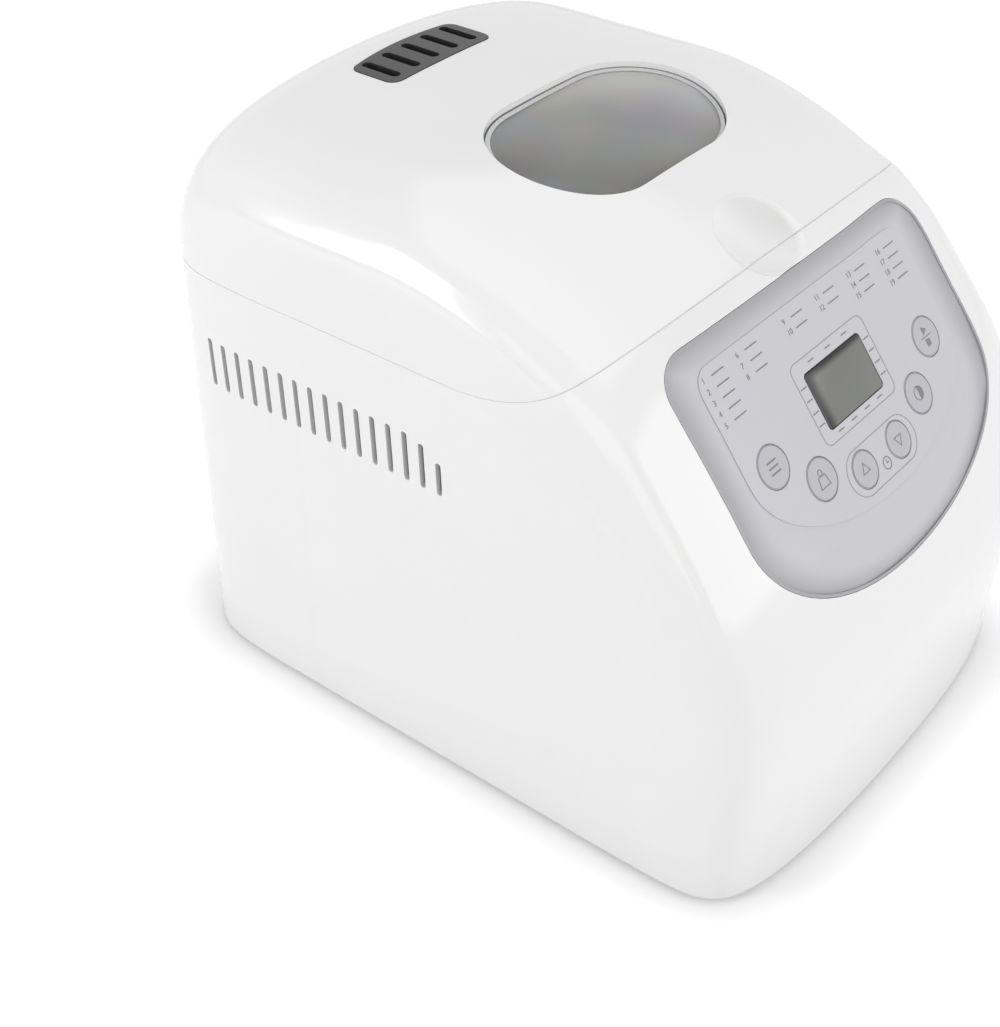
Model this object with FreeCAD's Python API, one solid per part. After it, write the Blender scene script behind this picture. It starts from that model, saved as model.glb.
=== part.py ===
import FreeCAD, Part
import math
import os

# Bread machine, in millimetres. The front faces -Y, X runs to the right seen from the front, +Z is up.
# The origin lies on the floor under the middle of the machine.

# Housing: its size and the corners of its side outline
house_width = 250.0
house_depth = 360.0
house_height = 288.0
foot_height = 3.0
back_lean = 13.0          # how far the back wall leans forward at the top
back_top_radius = 58.0
crown_y = -23.0           # where the level top starts to fall towards the front
crown_radius = 175.0
brow_y = -107.0           # upper end of the sloping front
brow_z = 245.0
brow_radius = 83.0
chin_z = 137.5            # lower end of the sloping front
chin_radius = 178.0
chin_reach = 4.0          # the chin corner stands this far beyond the rounded front
front_tuck = 5.0          # the front foot stands this far behind the chin
heart_y = -20.0           # middle that the side sections shrink towards
heart_z = 148.0
side_power = 2.1          # how fast the sides turn in, seen from above
back_fullness = 12.5      # how square the housing is across its width, place by place
crown_fullness = 13.0
brow_fullness = 18.0
chin_fullness = 30.0
foot_fullness = 10.0
shell_wall = 2.6
skin_gap = 0.15           # between a skin and a flange that lies against it
plate_gap = 0.3           # round a plate that drops into the housing

# Seam between body and lid
seam_z = 218.0
seam_bend_y = -23.0       # the seam is level behind this place and curves up in front of it
seam_radius = 102.0
seam_gap = 0.5

# Finger scoop across the seam
scoop_y = -86.2
scoop_z = 253.8
scoop_rim = 19.5
scoop_depth = 4.3
scoop_tilt = 34.0

# Side air slots
slot_count = 16
slot_pitch = 9.25
slot_width = 3.0
slot_height = 25.0
slot_foot_z = 160.0
slot_first_y = 122.4
slot_short_tops = (2.3, 8.4)   # the two front slots are this much shorter

# Window in the lid
window_y = -10.2
window_length = 123.0
window_depth = 75.5
window_sink = 4.0
window_thickness = 3.0
window_flange = 5.0
flange_thickness = 2.0
trim_gap = 0.3

# Vent grille in the lid
vent_y = 95.9
vent_length = 68.0
vent_depth = 27.5
vent_bow = 3.5            # how far the back edge swells
vent_corner = 6.0
vent_slot_count = 5
vent_slot_width = 5.0
vent_slot_depth = 22.0
vent_rib = 8.0

# Control panel, in its own slope: x across, u up the slope, h out of the slope
panel_u0 = 53.3           # from the brow corner down to the middle of the screen
panel_half = 95.0
panel_top = 52.8
panel_oval_u = -26.0
panel_foot = -82.0
panel_corner = 18.0
dish_half = 79.0
dish_top = 42.0
dish_oval_u = -10.0
dish_foot = -52.0
dish_corner = 10.0
dish_depth = 5.0
dish_rim = 1.6
dish_step = 0.5           # the dish starts this far below the skin
dish_hollow = 2.4         # how early the dish's wall turns into its floor
dish_rings = 8
panel_plate = 2.5
panel_gap = 0.25
overlay_thickness = 0.5
screen_width = 43.0
screen_height = 26.0
screen_sink = 1.7         # from the dish's floor down to the screen's lens
key_radius = 9.3
arrow_radius = 8.3
outer_key = (61.5, -8.5)
inner_key = (39.5, -26.0)
arrow_key = (13.7, -35.5)
key_gap = 0.25
key_travel = 0.8
key_lip = 1.2
key_lip_thickness = 1.0
key_stem_radius = 3.0
key_stem_length = 3.1
board_thickness = 1.6
board_drop = 8.0          # from the back of the panel plate to the board
board_half = 71.0
board_top = 24.0
board_foot = -43.0
switch_size = 6.0

# Lid parts
liner_rise = 3.0
liner_thickness = 1.2
boss_radius = 4.5
boss_x = 78.0
boss_front_y = -52.0
boss_back_y = 118.0
screw_radius = 1.6
screw_head_radius = 3.2
screw_head_height = 1.8
screw_length = 9.0
steam_hole_radius = 3.0

# Hinge behind the back wall
hinge_x = 60.0
hinge_offset = 4.5        # axis behind the back wall at the seam
knuckle_radius = 4.5
pin_radius = 1.9
pin_clearance = 0.06
knuckle_length = 10.0
lid_knuckle_length = 16.0
knuckle_gap = 0.5
leaf_height = 8.0
leaf_depth = 24.0
leaf_pad = 4.0

# Oven chamber and its deck
chamber_half_x = 100.0
chamber_depth = 160.0
chamber_corner = 20.0
chamber_wall = 1.0
chamber_floor_z = 56.0
deck_drop = 2.5
deck_thickness = 2.5
deck_lip = 8.0
deck_rim = 1.6            # the deck's edge stands this far over the seam, behind it
deck_rim_wall = 1.6
mouth_gap = 0.4

# Bread pan
pan_half_x = 84.0
pan_half_y = 64.0
pan_corner = 34.0
pan_wall = 1.6
pan_floor_z = 76.0
pan_rim_z = 200.0
pan_rim_width = 4.0
pan_rim_thickness = 3.0
pan_ring_radius = 33.0
pan_ring_wall = 2.5
seat_wall = 3.0
seat_height = 12.0
seat_gap = 0.4
ear_z = 190.0
ear_reach = 7.0
ear_half = 7.0
ear_gap = 0.4
handle_radius = 2.4
handle_reach = 74.0
handle_bend = 16.0
ear_pin_radius = 2.0

# Heater
heater_radius = 3.2
heater_x = 93.5
heater_y = 73.0
heater_z = 74.0
heater_bend = 26.0
heater_tail_x = 56.0
heater_tail = 8.0
clip_width = 8.0
clip_thickness = 1.0

# Drive
shaft_radius = 4.0
bore_clearance = 0.06
pan_shaft_radius = 4.0
bush_radius = 10.0
dog_radius = 13.0
dog_gap = 0.6
dog_disc = 4.0
prong_height = 6.0
paddle_hub_radius = 9.0
paddle_reach = 46.0
paddle_height = 24.0
paddle_thickness = 5.0
pulley_z = 13.0
pulley_width = 11.0
pulley_web = 4.0
driven_groove = 39.0
drive_ratio = 4.5
groove_depth = 3.0
flange_width = 1.5
belt_gap = 0.3
belt_thickness = 2.2
motor_radius = 35.0
motor_height = 66.0
motor_gap = 6.0           # to the back wall and to the chamber
motor_shaft_radius = 3.0
bracket_thickness = 2.0

# Base and chassis
base_thickness = 3.0
chassis_z = 36.0
chassis_thickness = 2.0
chassis_half_x = 98.0
leg_radius = 6.0
leg_x = 84.0
post_radius = 5.0
foot_radius = 9.0
foot_x = 76.0
foot_front_y = -132.0
foot_back_y = 152.0
stud_radius = 3.0
base_slot_count = 7
base_slot_pitch = 14.0
base_slot_width = 5.0
base_slot_length = 60.0

# Electrics
capacitor_radius = 15.0
capacitor_height = 48.0
capacitor_x = -78.0
power_board_width = 50.0
power_board_depth = 50.0
standoff_height = 6.0
inlet_x = -84.0
inlet_z = 44.0
inlet_radius = 6.5
inlet_bore = 3.8
inlet_flange = 3.0
inlet_flange_thickness = 2.5
sensor_radius = 2.5
sensor_length = 22.0
sensor_z = 110.0
fuse_radius = 4.0
fuse_length = 18.0
fuse_z = 140.0

# Values worked out from the sizes above
half_width = house_width / 2.0
back_y = house_depth / 2.0
shell_bottom = foot_height
under = 125.0             # the walls are drawn on below the floor and cut off level
far = 400.0
back_slope = back_lean / (house_height - foot_height)
front_foot_y = -back_y + front_tuck
chin_y = -back_y - chin_reach
base_top = shell_bottom + base_thickness
chassis_top = chassis_z + chassis_thickness
hinge_y = back_y - back_slope * (seam_z - foot_height) + hinge_offset
motor_y = back_y - back_lean * 0.5 - shell_wall - motor_gap - motor_radius
chamber_back = motor_y - motor_radius - motor_gap - chamber_wall
chamber_y = chamber_back - chamber_depth / 2.0
chamber_front = chamber_back - chamber_depth
motor_groove = driven_groove / drive_ratio
slope_length = math.hypot(brow_y - chin_y, brow_z - chin_z)
up_slope = ((brow_y - chin_y) / slope_length, (brow_z - chin_z) / slope_length)
slope_angle = math.degrees(math.atan2(up_slope[1], up_slope[0]))
panel_y = brow_y - panel_u0 * up_slope[0]
panel_z = brow_z - panel_u0 * up_slope[1]
floor_h = -dish_depth
plate_back_h = floor_h - panel_plate
board_h = plate_back_h - board_drop

X = FreeCAD.Vector(1, 0, 0)
Y = FreeCAD.Vector(0, 1, 0)
Z = FreeCAD.Vector(0, 0, 1)


def vec(x, y, z):
    return FreeCAD.Vector(x, y, z)


def box(x0, x1, y0, y1, z0, z1):
    return Part.makeBox(x1 - x0, y1 - y0, z1 - z0, vec(x0, y0, z0))


def cylinder(radius, x, y, z0, z1):
    return Part.makeCylinder(radius, z1 - z0, vec(x, y, z0))


def cylinder_x(radius, x0, x1, y, z):
    return Part.makeCylinder(radius, x1 - x0, vec(x0, y, z), X)


def cylinder_y(radius, x, y0, y1, z):
    return Part.makeCylinder(radius, y1 - y0, vec(x, y0, z), Y)


def union(shapes):
    whole = shapes[0]
    if len(shapes) > 1:
        whole = whole.fuse(shapes[1:])
    return whole.removeSplitter()


def prism(wire, direction):
    return Part.Face(wire).extrude(direction)


def rounded_wire(half_x, half_y, radius, x=0.0, y=0.0, z=0.0):
    r = min(radius, half_x - 0.01, half_y - 0.01)
    edges = []
    centres = ((1, 1, 0), (-1, 1, 90), (-1, -1, 180), (1, -1, 270))
    for sx, sy, start in centres:
        centre = vec(x + sx * (half_x - r), y + sy * (half_y - r), z)
        circle = Part.Circle(centre, Z, r)
        edges.append(Part.Arc(circle, math.radians(start), math.radians(start + 90)).toShape())
    lines = []
    for i in range(4):
        a = edges[i].lastVertex().Point
        b = edges[(i + 1) % 4].firstVertex().Point
        if a.distanceToPoint(b) > 1e-6:
            lines.append(Part.makeLine(a, b))
    return Part.Wire(Part.__sortEdges__(edges + lines))


def rounded_block(half_x, half_y, radius, z0, z1, x=0.0, y=0.0):
    return prism(rounded_wire(half_x, half_y, radius, x, y, z0), vec(0, 0, z1 - z0))


# The housing's outer form: a side outline that shrinks towards the sides
def outline_corners():
    below_back = back_y + back_slope * under
    front_lean = (front_foot_y - chin_y) / (chin_z - foot_height)
    below_front = front_foot_y + front_lean * under
    return [
        (below_back, foot_height - under, 0.0, back_fullness),
        (back_y - back_lean, house_height, back_top_radius, back_fullness),
        (crown_y, house_height, crown_radius, crown_fullness),
        (brow_y, brow_z, brow_radius, brow_fullness),
        (chin_y, chin_z, chin_radius, chin_fullness),
        (below_front, foot_height - under, 0.0, foot_fullness),
    ]


def corner_arc(before, corner, after, inset):
    ay, az = before[0] - corner[0], before[1] - corner[1]
    by, bz = after[0] - corner[0], after[1] - corner[1]
    la, lb = math.hypot(ay, az), math.hypot(by, bz)
    ay, az, by, bz = ay / la, az / la, by / lb, bz / lb
    half = math.acos(max(-1.0, min(1.0, ay * by + az * bz))) / 2.0
    reach = min(corner[2] / math.tan(half), 0.48 * la, 0.48 * lb)
    radius = reach * math.tan(half)
    my, mz = ay + by, az + bz
    ml = math.hypot(my, mz)
    depth = radius / math.sin(half)
    cy, cz = corner[0] + my / ml * depth, corner[1] + mz / ml * depth
    start = math.atan2(corner[1] + az * reach - cz, corner[0] + ay * reach - cy)
    sweep = math.pi - 2.0 * half
    steps = 2 * max(2, int(math.degrees(sweep) / 14.0))
    r = radius - inset
    angles = [start + sweep * i / steps for i in range(steps + 1)]
    return [(cy + r * math.cos(a), cz + r * math.sin(a)) for a in angles]


def wall_end(corner, direction, inset):
    length = math.hypot(direction[0], direction[1])
    return (corner[0] - inset * direction[1] / length, corner[1] + inset * direction[0] / length)


def between(a, b):
    length = math.hypot(b[0] - a[0], b[1] - a[1])
    steps = max(1, int(length / 20.0))
    return [(a[0] + (b[0] - a[0]) * i / steps, a[1] + (b[1] - a[1]) * i / steps) for i in range(1, steps)]


def side_outline(inset):
    # Points along the outline, each with how square the housing is there
    corners = outline_corners()
    back_dir = (corners[1][0] - corners[0][0], corners[1][1] - corners[0][1])
    front_dir = (corners[-1][0] - corners[-2][0], corners[-1][1] - corners[-2][1])
    stretches = [[wall_end(corners[0], back_dir, inset)]]
    for i in range(1, len(corners) - 1):
        stretches.append(corner_arc(corners[i - 1], corners[i], corners[i + 1], inset))
    stretches.append([wall_end(corners[-1], front_dir, inset)])
    points = []
    marks = []
    for i, stretch in enumerate(stretches):
        if i > 0:
            points.extend(between(stretches[i - 1][-1], stretch[0]))
        marks.append(len(points) + len(stretch) // 2)
        points.extend(stretch)
    whole = []
    for i in range(len(marks) - 1):
        low, high = corners[i][3], corners[i + 1][3]
        span = marks[i + 1] - marks[i]
        for k in range(span):
            ease = (1.0 - math.cos(math.pi * k / span)) / 2.0
            y, z = points[marks[i] + k]
            whole.append((y, z, low + (high - low) * ease))
    whole.append((points[-1][0], points[-1][1], corners[-1][3]))
    return whole


def section_points(outline, width, turn):
    lift = abs(math.cos(turn))
    x = math.copysign(width * abs(math.sin(turn)) ** (2.0 / side_power), math.sin(turn))
    points = []
    for y, z, fullness in outline:
        shrink = lift ** (2.0 / fullness)
        points.append(vec(x, heart_y + shrink * (y - heart_y), heart_z + shrink * (z - heart_z)))
    return points


def section_wire(points, places):
    # Every section is drawn through the same places along the outline
    curve = Part.BSplineCurve()
    curve.interpolate(Points=points, Parameters=places)
    return Part.Wire([curve.toShape(), Part.makeLine(points[-1], points[0])])


def outline_places():
    outline = side_outline(0.0)
    places = [0.0]
    for (y0, z0, f0), (y1, z1, f1) in zip(outline, outline[1:]):
        places.append(places[-1] + math.hypot(y1 - y0, z1 - z0))
    return [place / places[-1] for place in places]


forms = {}


def form(inset):
    key = round(inset, 4)
    if key not in forms:
        outline = side_outline(inset)
        turns = [-89.6, -88.5, -86.0, -82.0, -76.0, -69.0, -61.0, -52.0, -42.0, -31.0, -20.0, -9.5]
        turns = turns + [0.0] + [-t for t in reversed(turns)]
        places = outline_places()
        sections = [section_points(outline, half_width - inset, math.radians(t)) for t in turns]
        solid = Part.makeLoft([section_wire(points, places) for points in sections], True, False)
        forms[key] = solid.common(box(-far, far, -far, far, shell_bottom, far))
    return forms[key]


def skin_piece(outer_inset, inner_inset, block):
    # The part of a skin of the housing that lies inside a block
    return form(outer_inset).common(block).cut(form(inner_inset))


# The seam: level along the sides, curving up to the front
def seam_region(rise, upper):
    centre = vec(-far, seam_bend_y, seam_z + seam_radius)
    radius = seam_radius - rise
    def on_arc(angle):
        a = math.radians(angle)
        return vec(-far, centre.y - radius * math.sin(a), centre.z - radius * math.cos(a))
    last_angle = 62.0
    back = vec(-far, far, seam_z + rise)
    bend, middle, last = on_arc(0.0), on_arc(last_angle / 2.0), on_arc(last_angle)
    a = math.radians(last_angle)
    front = vec(-far, last.y - far * math.cos(a), last.z + far * math.sin(a))
    limit = far * 3.0 if upper else -far
    edges = [Part.makeLine(back, bend), Part.Arc(bend, middle, last).toShape(), Part.makeLine(last, front)]
    if upper:
        top_front = vec(-far, front.y, limit)
        top_back = vec(-far, far, limit)
        edges += [Part.makeLine(front, top_front), Part.makeLine(top_front, top_back), Part.makeLine(top_back, back)]
    else:
        low_front = vec(-far, front.y, limit)
        low_back = vec(-far, far, limit)
        edges += [Part.makeLine(front, low_front), Part.makeLine(low_front, low_back), Part.makeLine(low_back, back)]
    return prism(Part.Wire(edges), vec(2 * far, 0, 0))


def seam_band(low, high):
    return seam_region(high, False).cut(seam_region(low, False))


# The panel's own slope
def on_slope(shape):
    placed = shape.copy()
    placed.rotate(vec(0, 0, 0), X, slope_angle)
    placed.translate(vec(0, panel_y, panel_z))
    return placed


def slope_point(x, u, h):
    return vec(x, panel_y + u * up_slope[0] - h * up_slope[1], panel_z + u * up_slope[1] + h * up_slope[0])


def shield_points(half, top, oval_u, foot, corner, grow=0.0):
    # A shield: level top, rounded shoulders, straight sides, half an oval below
    half, top, foot, corner = half + grow, top + grow, foot - grow, corner + grow
    points = []
    steps = 6
    for i in range(steps + 1):
        points.append((-(half - corner) + 2.0 * (half - corner) * i / steps, top))
    for i in range(1, 7):
        a = math.radians(90.0 - 15.0 * i)
        points.append((half - corner + corner * math.cos(a), top - corner + corner * math.sin(a)))
    side = top - corner - oval_u
    for i in range(1, 4):
        points.append((half, top - corner - side * i / 3.0))
    turns = 28
    for i in range(1, turns):
        a = math.pi * i / turns
        points.append((half * math.cos(a), oval_u + (foot - oval_u) * math.sin(a)))
    for i in range(0, 3):
        points.append((-half, oval_u + side * i / 3.0))
    for i in range(0, 6):
        a = math.radians(180.0 - 15.0 * i)
        points.append((-(half - corner) + corner * math.cos(a), top - corner + corner * math.sin(a)))
    return points


def panel_points(grow):
    return shield_points(panel_half, panel_top, panel_oval_u, panel_foot, panel_corner, grow)


def dish_points(grow):
    return shield_points(dish_half, dish_top, dish_oval_u, dish_foot, dish_corner, grow)


def closed_curve(points):
    curve = Part.BSplineCurve()
    curve.interpolate(points, True)
    return Part.Wire([curve.toShape()])


def slope_prism(points, h0, h1):
    wire = closed_curve([vec(x, u, h0) for x, u in points])
    return on_slope(prism(wire, vec(0, 0, h1 - h0)))


def skin_height(x, u):
    # Height of the housing's skin over the panel's slope, at one place of that slope
    outline = side_outline(0.0)
    turn = math.asin(min(1.0, (abs(x) / half_width) ** (side_power / 2.0)))
    best = -far
    points = section_points(outline, half_width, turn)
    flat = []
    for p in points:
        dy, dz = p.y - panel_y, p.z - panel_z
        flat.append((dy * up_slope[0] + dz * up_slope[1], -dy * up_slope[1] + dz * up_slope[0]))
    for (u0, h0), (u1, h1) in zip(flat, flat[1:]):
        if min(u0, u1) <= u <= max(u0, u1) and abs(u1 - u0) > 1e-9:
            best = max(best, h0 + (h1 - h0) * (u - u0) / (u1 - u0))
    return best


def dish_void():
    # The wall turns quickly from the rim into the flat floor: a hollow above, a rounded edge below
    rim = [(x, u, skin_height(x, u) - dish_step) for x, u in panel_points(-dish_rim)]
    rings = []
    for i in range(dish_rings, -1, -1):
        share = (i / dish_rings) ** 1.4
        fall = 1.0 - (1.0 - share) ** dish_hollow
        ring = []
        for (x0, u0, h0), (x1, u1) in zip(rim, dish_points(0.0)):
            x, u, h = x0 + (x1 - x0) * share, u0 + (u1 - u0) * share, h0 + (floor_h - h0) * fall
            if i < dish_rings:
                h = min(h, skin_height(x, u) - dish_step)
            ring.append(vec(x, u, h))
        rings.append(closed_curve(ring))
    rings.append(closed_curve([vec(x, u, 3.0 * dish_depth) for x, u, h in rim]))
    return on_slope(Part.makeLoft(rings, True, True))


KEYS = {
    "menu_key": (-outer_key[0], outer_key[1], key_radius),
    "weight_key": (-inner_key[0], inner_key[1], key_radius),
    "time_up_key": (-arrow_key[0], arrow_key[1], arrow_radius),
    "time_down_key": (arrow_key[0], arrow_key[1], arrow_radius),
    "colour_key": (inner_key[0], inner_key[1], key_radius),
    "start_stop_key": (outer_key[0], outer_key[1], key_radius),
}


def key_holes(h0, h1, gap):
    return [cylinder(r + gap, x, u, h0, h1) for x, u, r in KEYS.values()]


def screen_block(h0, h1, grow):
    return rounded_block(screen_width / 2 + grow, screen_height / 2 + grow, 2.0 + grow, h0, h1)


def control_panel():
    opening = slope_prism(panel_points(-panel_gap), -far / 10, far / 10)
    flange_back = shell_wall + skin_gap + flange_thickness
    slab = on_slope(box(-far, far, -far, far, plate_back_h, far))
    block = form(0.0).common(opening).common(slab)
    rim = skin_piece(0.0, flange_back, opening)
    below_top = on_slope(box(-far, far, -far, panel_top - 6.0, -far, far))
    wider = slope_prism(panel_points(4.0), -far / 10, far / 10).common(below_top)
    flange = skin_piece(shell_wall + skin_gap, flange_back, wider)
    body = union([block, rim, flange]).cut(dish_void())
    posts = []
    for x in (-board_half + 6.0, board_half - 6.0):
        for u in (board_foot + 10.0, board_top - 6.0):
            posts.append(on_slope(cylinder(3.0, x, u, board_h, plate_back_h)))
    body = union([body] + posts)
    cuts = [on_slope(c) for c in key_holes(plate_back_h - 1, far / 10, key_gap)]
    cuts.append(on_slope(screen_block(plate_back_h - 1, far / 10, key_gap)))
    return body.cut(cuts)


def keypad_overlay():
    sheet = slope_prism(dish_points(-0.6), floor_h, floor_h + overlay_thickness)
    cuts = [on_slope(c) for c in key_holes(floor_h - 1, far / 10, key_gap)]
    cuts.append(on_slope(screen_block(floor_h - 1, far / 10, key_gap)))
    return sheet.cut(cuts)


def key(x, u, radius):
    top = floor_h + overlay_thickness + 0.2
    lip_top = plate_back_h - 0.1
    lip_foot = lip_top - key_lip_thickness
    cap = cylinder(radius, x, u, lip_top, top)
    crown = cap.Edges
    cap = cap.makeFillet(0.4, [e for e in crown if abs(e.BoundBox.ZMin - top) < 1e-6 and e.BoundBox.ZLength < 1e-6])
    lip = cylinder(radius + key_lip, x, u, lip_foot, lip_top)
    stem = cylinder(key_stem_radius, x, u, lip_foot - key_stem_length, lip_foot)
    return on_slope(union([cap, lip, stem]))


def screen_lens():
    return on_slope(screen_block(plate_back_h, floor_h - screen_sink, 0.05))


def screen_module():
    frame = rounded_block(screen_width / 2 + 4, screen_height / 2 + 4, 2.0, plate_back_h - 5.0, plate_back_h - 0.1)
    legs = [box(s * 18 - 4, s * 18 + 4, -10, 10, board_h, plate_back_h - 5.0) for s in (-1, 1)]
    return on_slope(union([frame] + legs))


def control_board():
    sheet = box(-board_half, board_half, board_foot, board_top, board_h - board_thickness, board_h)
    chip = box(-9, 9, 4, 20, board_h - board_thickness - 2.0, board_h - board_thickness)
    return on_slope(union([sheet, chip]))


def key_switches():
    stem_foot = plate_back_h - 0.1 - key_lip_thickness - key_stem_length
    top = stem_foot - key_travel - 0.1
    half = switch_size / 2
    group = [on_slope(box(x - half, x + half, u - half, u + half, board_h, top)) for x, u, r in KEYS.values()]
    return Part.makeCompound(group)


# Body shell
def side_slots():
    cuts = []
    for i in range(slot_count):
        y = slot_first_y - slot_pitch * i
        short = slot_short_tops[i - slot_count] if i >= slot_count - len(slot_short_tops) else 0.0
        top = slot_foot_z + slot_height - short
        r = slot_width / 2
        middle = (slot_foot_z + top) / 2
        slot = rounded_block((top - slot_foot_z) / 2, r, r, -far, far, 0.0, 0.0)
        slot.rotate(vec(0, 0, 0), Y, 90)
        slot.translate(vec(0, y, middle))
        cuts.append(slot)
    return cuts


def scoop(grow):
    ball = (scoop_rim ** 2 + scoop_depth ** 2) / (2 * scoop_depth)
    a = math.radians(scoop_tilt)
    rise = ball - scoop_depth
    centre = vec(0, scoop_y - rise * math.sin(a), scoop_z + rise * math.cos(a))
    return Part.makeSphere(ball + grow, centre)


def whole_shell():
    if "shell" not in forms:
        solid = form(0.0).cut(scoop(0.0))
        hollow = form(shell_wall).cut(scoop(shell_wall))
        forms["shell"] = solid.cut(hollow)
    return forms["shell"]


def wall_y(z):
    return back_y - back_slope * (z - foot_height)


def hinge_block(side, z0, z1, length, grow=0.0):
    x = side * hinge_x
    half = length / 2 + grow
    inner = wall_y(seam_z) - leaf_depth
    return box(x - half, x + half, inner, hinge_y + knuckle_radius * 0.5, z0 - grow, z1 + grow)


hinge_total = 2 * knuckle_length + lid_knuckle_length + 2 * knuckle_gap
leaf_clear = knuckle_radius + knuckle_gap
body_leaf = (seam_z - leaf_clear - leaf_height, seam_z - leaf_clear)
lid_leaf = (seam_z + leaf_clear, seam_z + leaf_clear + leaf_height)


def inlet_axis_y():
    turn = math.asin((abs(inlet_x) / half_width) ** (side_power / 2.0))
    points = section_points(side_outline(0.0), half_width, turn)
    near = min((p for p in points if p.y > heart_y), key=lambda p: abs(p.z - inlet_z))
    return near.y


def body_shell():
    shell = whole_shell().common(seam_region(-seam_gap / 2, False))
    cuts = side_slots()
    cuts.append(slope_prism(panel_points(0.0), -far / 10, far / 10))
    cuts.append(cylinder_y(inlet_radius + skin_gap, inlet_x, inlet_axis_y() - 30, back_y + 20, inlet_z))
    for side in (-1, 1):
        cuts.append(hinge_block(side, body_leaf[0], body_leaf[1], hinge_total, skin_gap))
    return shell.cut(cuts)


def seated_leaf(side, levels, length):
    arm = hinge_block(side, levels[0], levels[1], length)
    pad_top = levels[1] + leaf_pad
    pad_foot = levels[0] - leaf_pad
    pad_block = hinge_block(side, pad_foot, pad_top, length + 2 * leaf_pad)
    low = shell_wall + skin_gap
    pad = skin_piece(low, low + flange_thickness, pad_block)
    outside = arm.cut(form(low + flange_thickness))
    return [outside, pad]


def hinge_brackets():
    group = []
    for side in (-1, 1):
        levels = (body_leaf[0], body_leaf[1])
        parts = seated_leaf(side, levels, hinge_total)
        low_pad = parts[1].common(seam_region(-seam_gap, False))
        parts = [parts[0], low_pad]
        for end in (-1, 1):
            x = side * hinge_x + end * (hinge_total - knuckle_length) / 2
            x0, x1 = x - knuckle_length / 2, x + knuckle_length / 2
            parts.append(cylinder_x(knuckle_radius, x0, x1, hinge_y, seam_z))
            parts.append(box(x0, x1, hinge_y - knuckle_radius, hinge_y + knuckle_radius * 0.5, body_leaf[1], seam_z))
        x0 = side * hinge_x - hinge_total / 2
        bore = cylinder_x(pin_radius, x0 - 5, x0 + hinge_total + 5, hinge_y, seam_z)
        group.append(union(parts).cut(bore))
    return Part.makeCompound(group)


def lid_hinge_leaves():
    group = []
    for side in (-1, 1):
        parts = seated_leaf(side, lid_leaf, lid_knuckle_length)
        parts[1] = parts[1].common(seam_region(seam_gap, True))
        x0 = side * hinge_x - lid_knuckle_length / 2
        x1 = x0 + lid_knuckle_length
        parts.append(cylinder_x(knuckle_radius, x0, x1, hinge_y, seam_z))
        parts.append(box(x0, x1, hinge_y - knuckle_radius, hinge_y + knuckle_radius * 0.5, seam_z, lid_leaf[0]))
        bore = cylinder_x(pin_radius + pin_clearance, x0 - 5, x1 + 5, hinge_y, seam_z)
        group.append(union(parts).cut(bore))
    return Part.makeCompound(group)


def hinge_pins():
    half = hinge_total / 2
    return Part.makeCompound([
        cylinder_x(pin_radius, side * hinge_x - half, side * hinge_x + half, hinge_y, seam_z) for side in (-1, 1)])


# Lid
def window_block(grow):
    half_y = window_depth / 2 + grow
    return rounded_block(window_length / 2 + grow, half_y, half_y, seam_z, far, 0.0, window_y)


def vent_block(grow):
    half = vent_length / 2
    front = vent_y - vent_depth / 2
    back = vent_y + vent_depth / 2 + vent_bow
    radius = (half ** 2 + vent_bow ** 2) / (2 * vent_bow)
    block = box(-half - grow, half + grow, front - grow, back + grow + 1.0, seam_z, far)
    block = block.common(cylinder(radius + grow, 0, back - radius, seam_z, far))
    uprights = [e for e in block.Edges if e.BoundBox.XLength < 0.1 and e.BoundBox.YLength < 0.1]
    return block.makeFillet(vent_corner + grow, uprights)


boss_places = [(x, y) for x in (-boss_x, boss_x) for y in (boss_front_y, boss_back_y)]


def lid_shell():
    shell = whole_shell().common(seam_region(seam_gap / 2, True))
    above_liner = seam_region(liner_rise + liner_thickness, True)
    inside = form(shell_wall - 0.5).common(above_liner)
    bosses = [cylinder(boss_radius, x, y, shell_bottom, far).common(inside) for x, y in boss_places]
    shell = union([shell] + bosses)
    cuts = [window_block(0.0), vent_block(0.0)]
    cuts += [cylinder(screw_radius, x, y, seam_z - 20, boss_foot(y) + screw_length) for x, y in boss_places]
    for side in (-1, 1):
        cuts.append(hinge_block(side, lid_leaf[0], lid_leaf[1], lid_knuckle_length, skin_gap))
    return shell.cut(cuts)


def boss_foot(y):
    # Height of the liner's lower face at one place from front to back
    if y >= seam_bend_y:
        return seam_z + liner_rise
    reach = seam_radius - liner_rise
    return seam_z + seam_radius - math.sqrt(reach ** 2 - (y - seam_bend_y) ** 2)


def lid_liner():
    sheet = form(shell_wall + plate_gap).common(seam_band(liner_rise, liner_rise + liner_thickness))
    cuts = [rounded_block(window_length / 2, window_depth / 2, 20.0, 0, far, 0.0, window_y)]
    cuts.append(scoop(shell_wall + plate_gap))
    cuts += [cylinder(screw_radius, x, y, 0, far) for x, y in boss_places]
    for i in range(-3, 4):
        for j in (-1, 0, 1):
            cuts.append(cylinder(steam_hole_radius, i * 10.0, vent_y - 28.0 + j * 9.0, 0, far))
    for side in (-1, 1):
        cuts.append(hinge_block(side, seam_z - leaf_height, seam_z + leaf_height, hinge_total + 2 * leaf_pad, 1.0))
    return sheet.cut(cuts)


def lid_liner_screws():
    group = []
    for x, y in boss_places:
        foot = boss_foot(y - screw_head_radius) - 0.05 if y < seam_bend_y else boss_foot(y)
        foot = min(foot, boss_foot(y + screw_head_radius)) - 0.05
        shank = cylinder(screw_radius, x, y, foot, boss_foot(y) + screw_length - 0.5)
        head = cylinder(screw_head_radius, x, y, foot - screw_head_height, foot)
        slot = box(x - 0.4, x + 0.4, y - 2.4, y + 2.4, foot - screw_head_height, foot - screw_head_height + 0.8)
        group.append(union([shank, head]).cut(slot))
    return Part.makeCompound(group)


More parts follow.
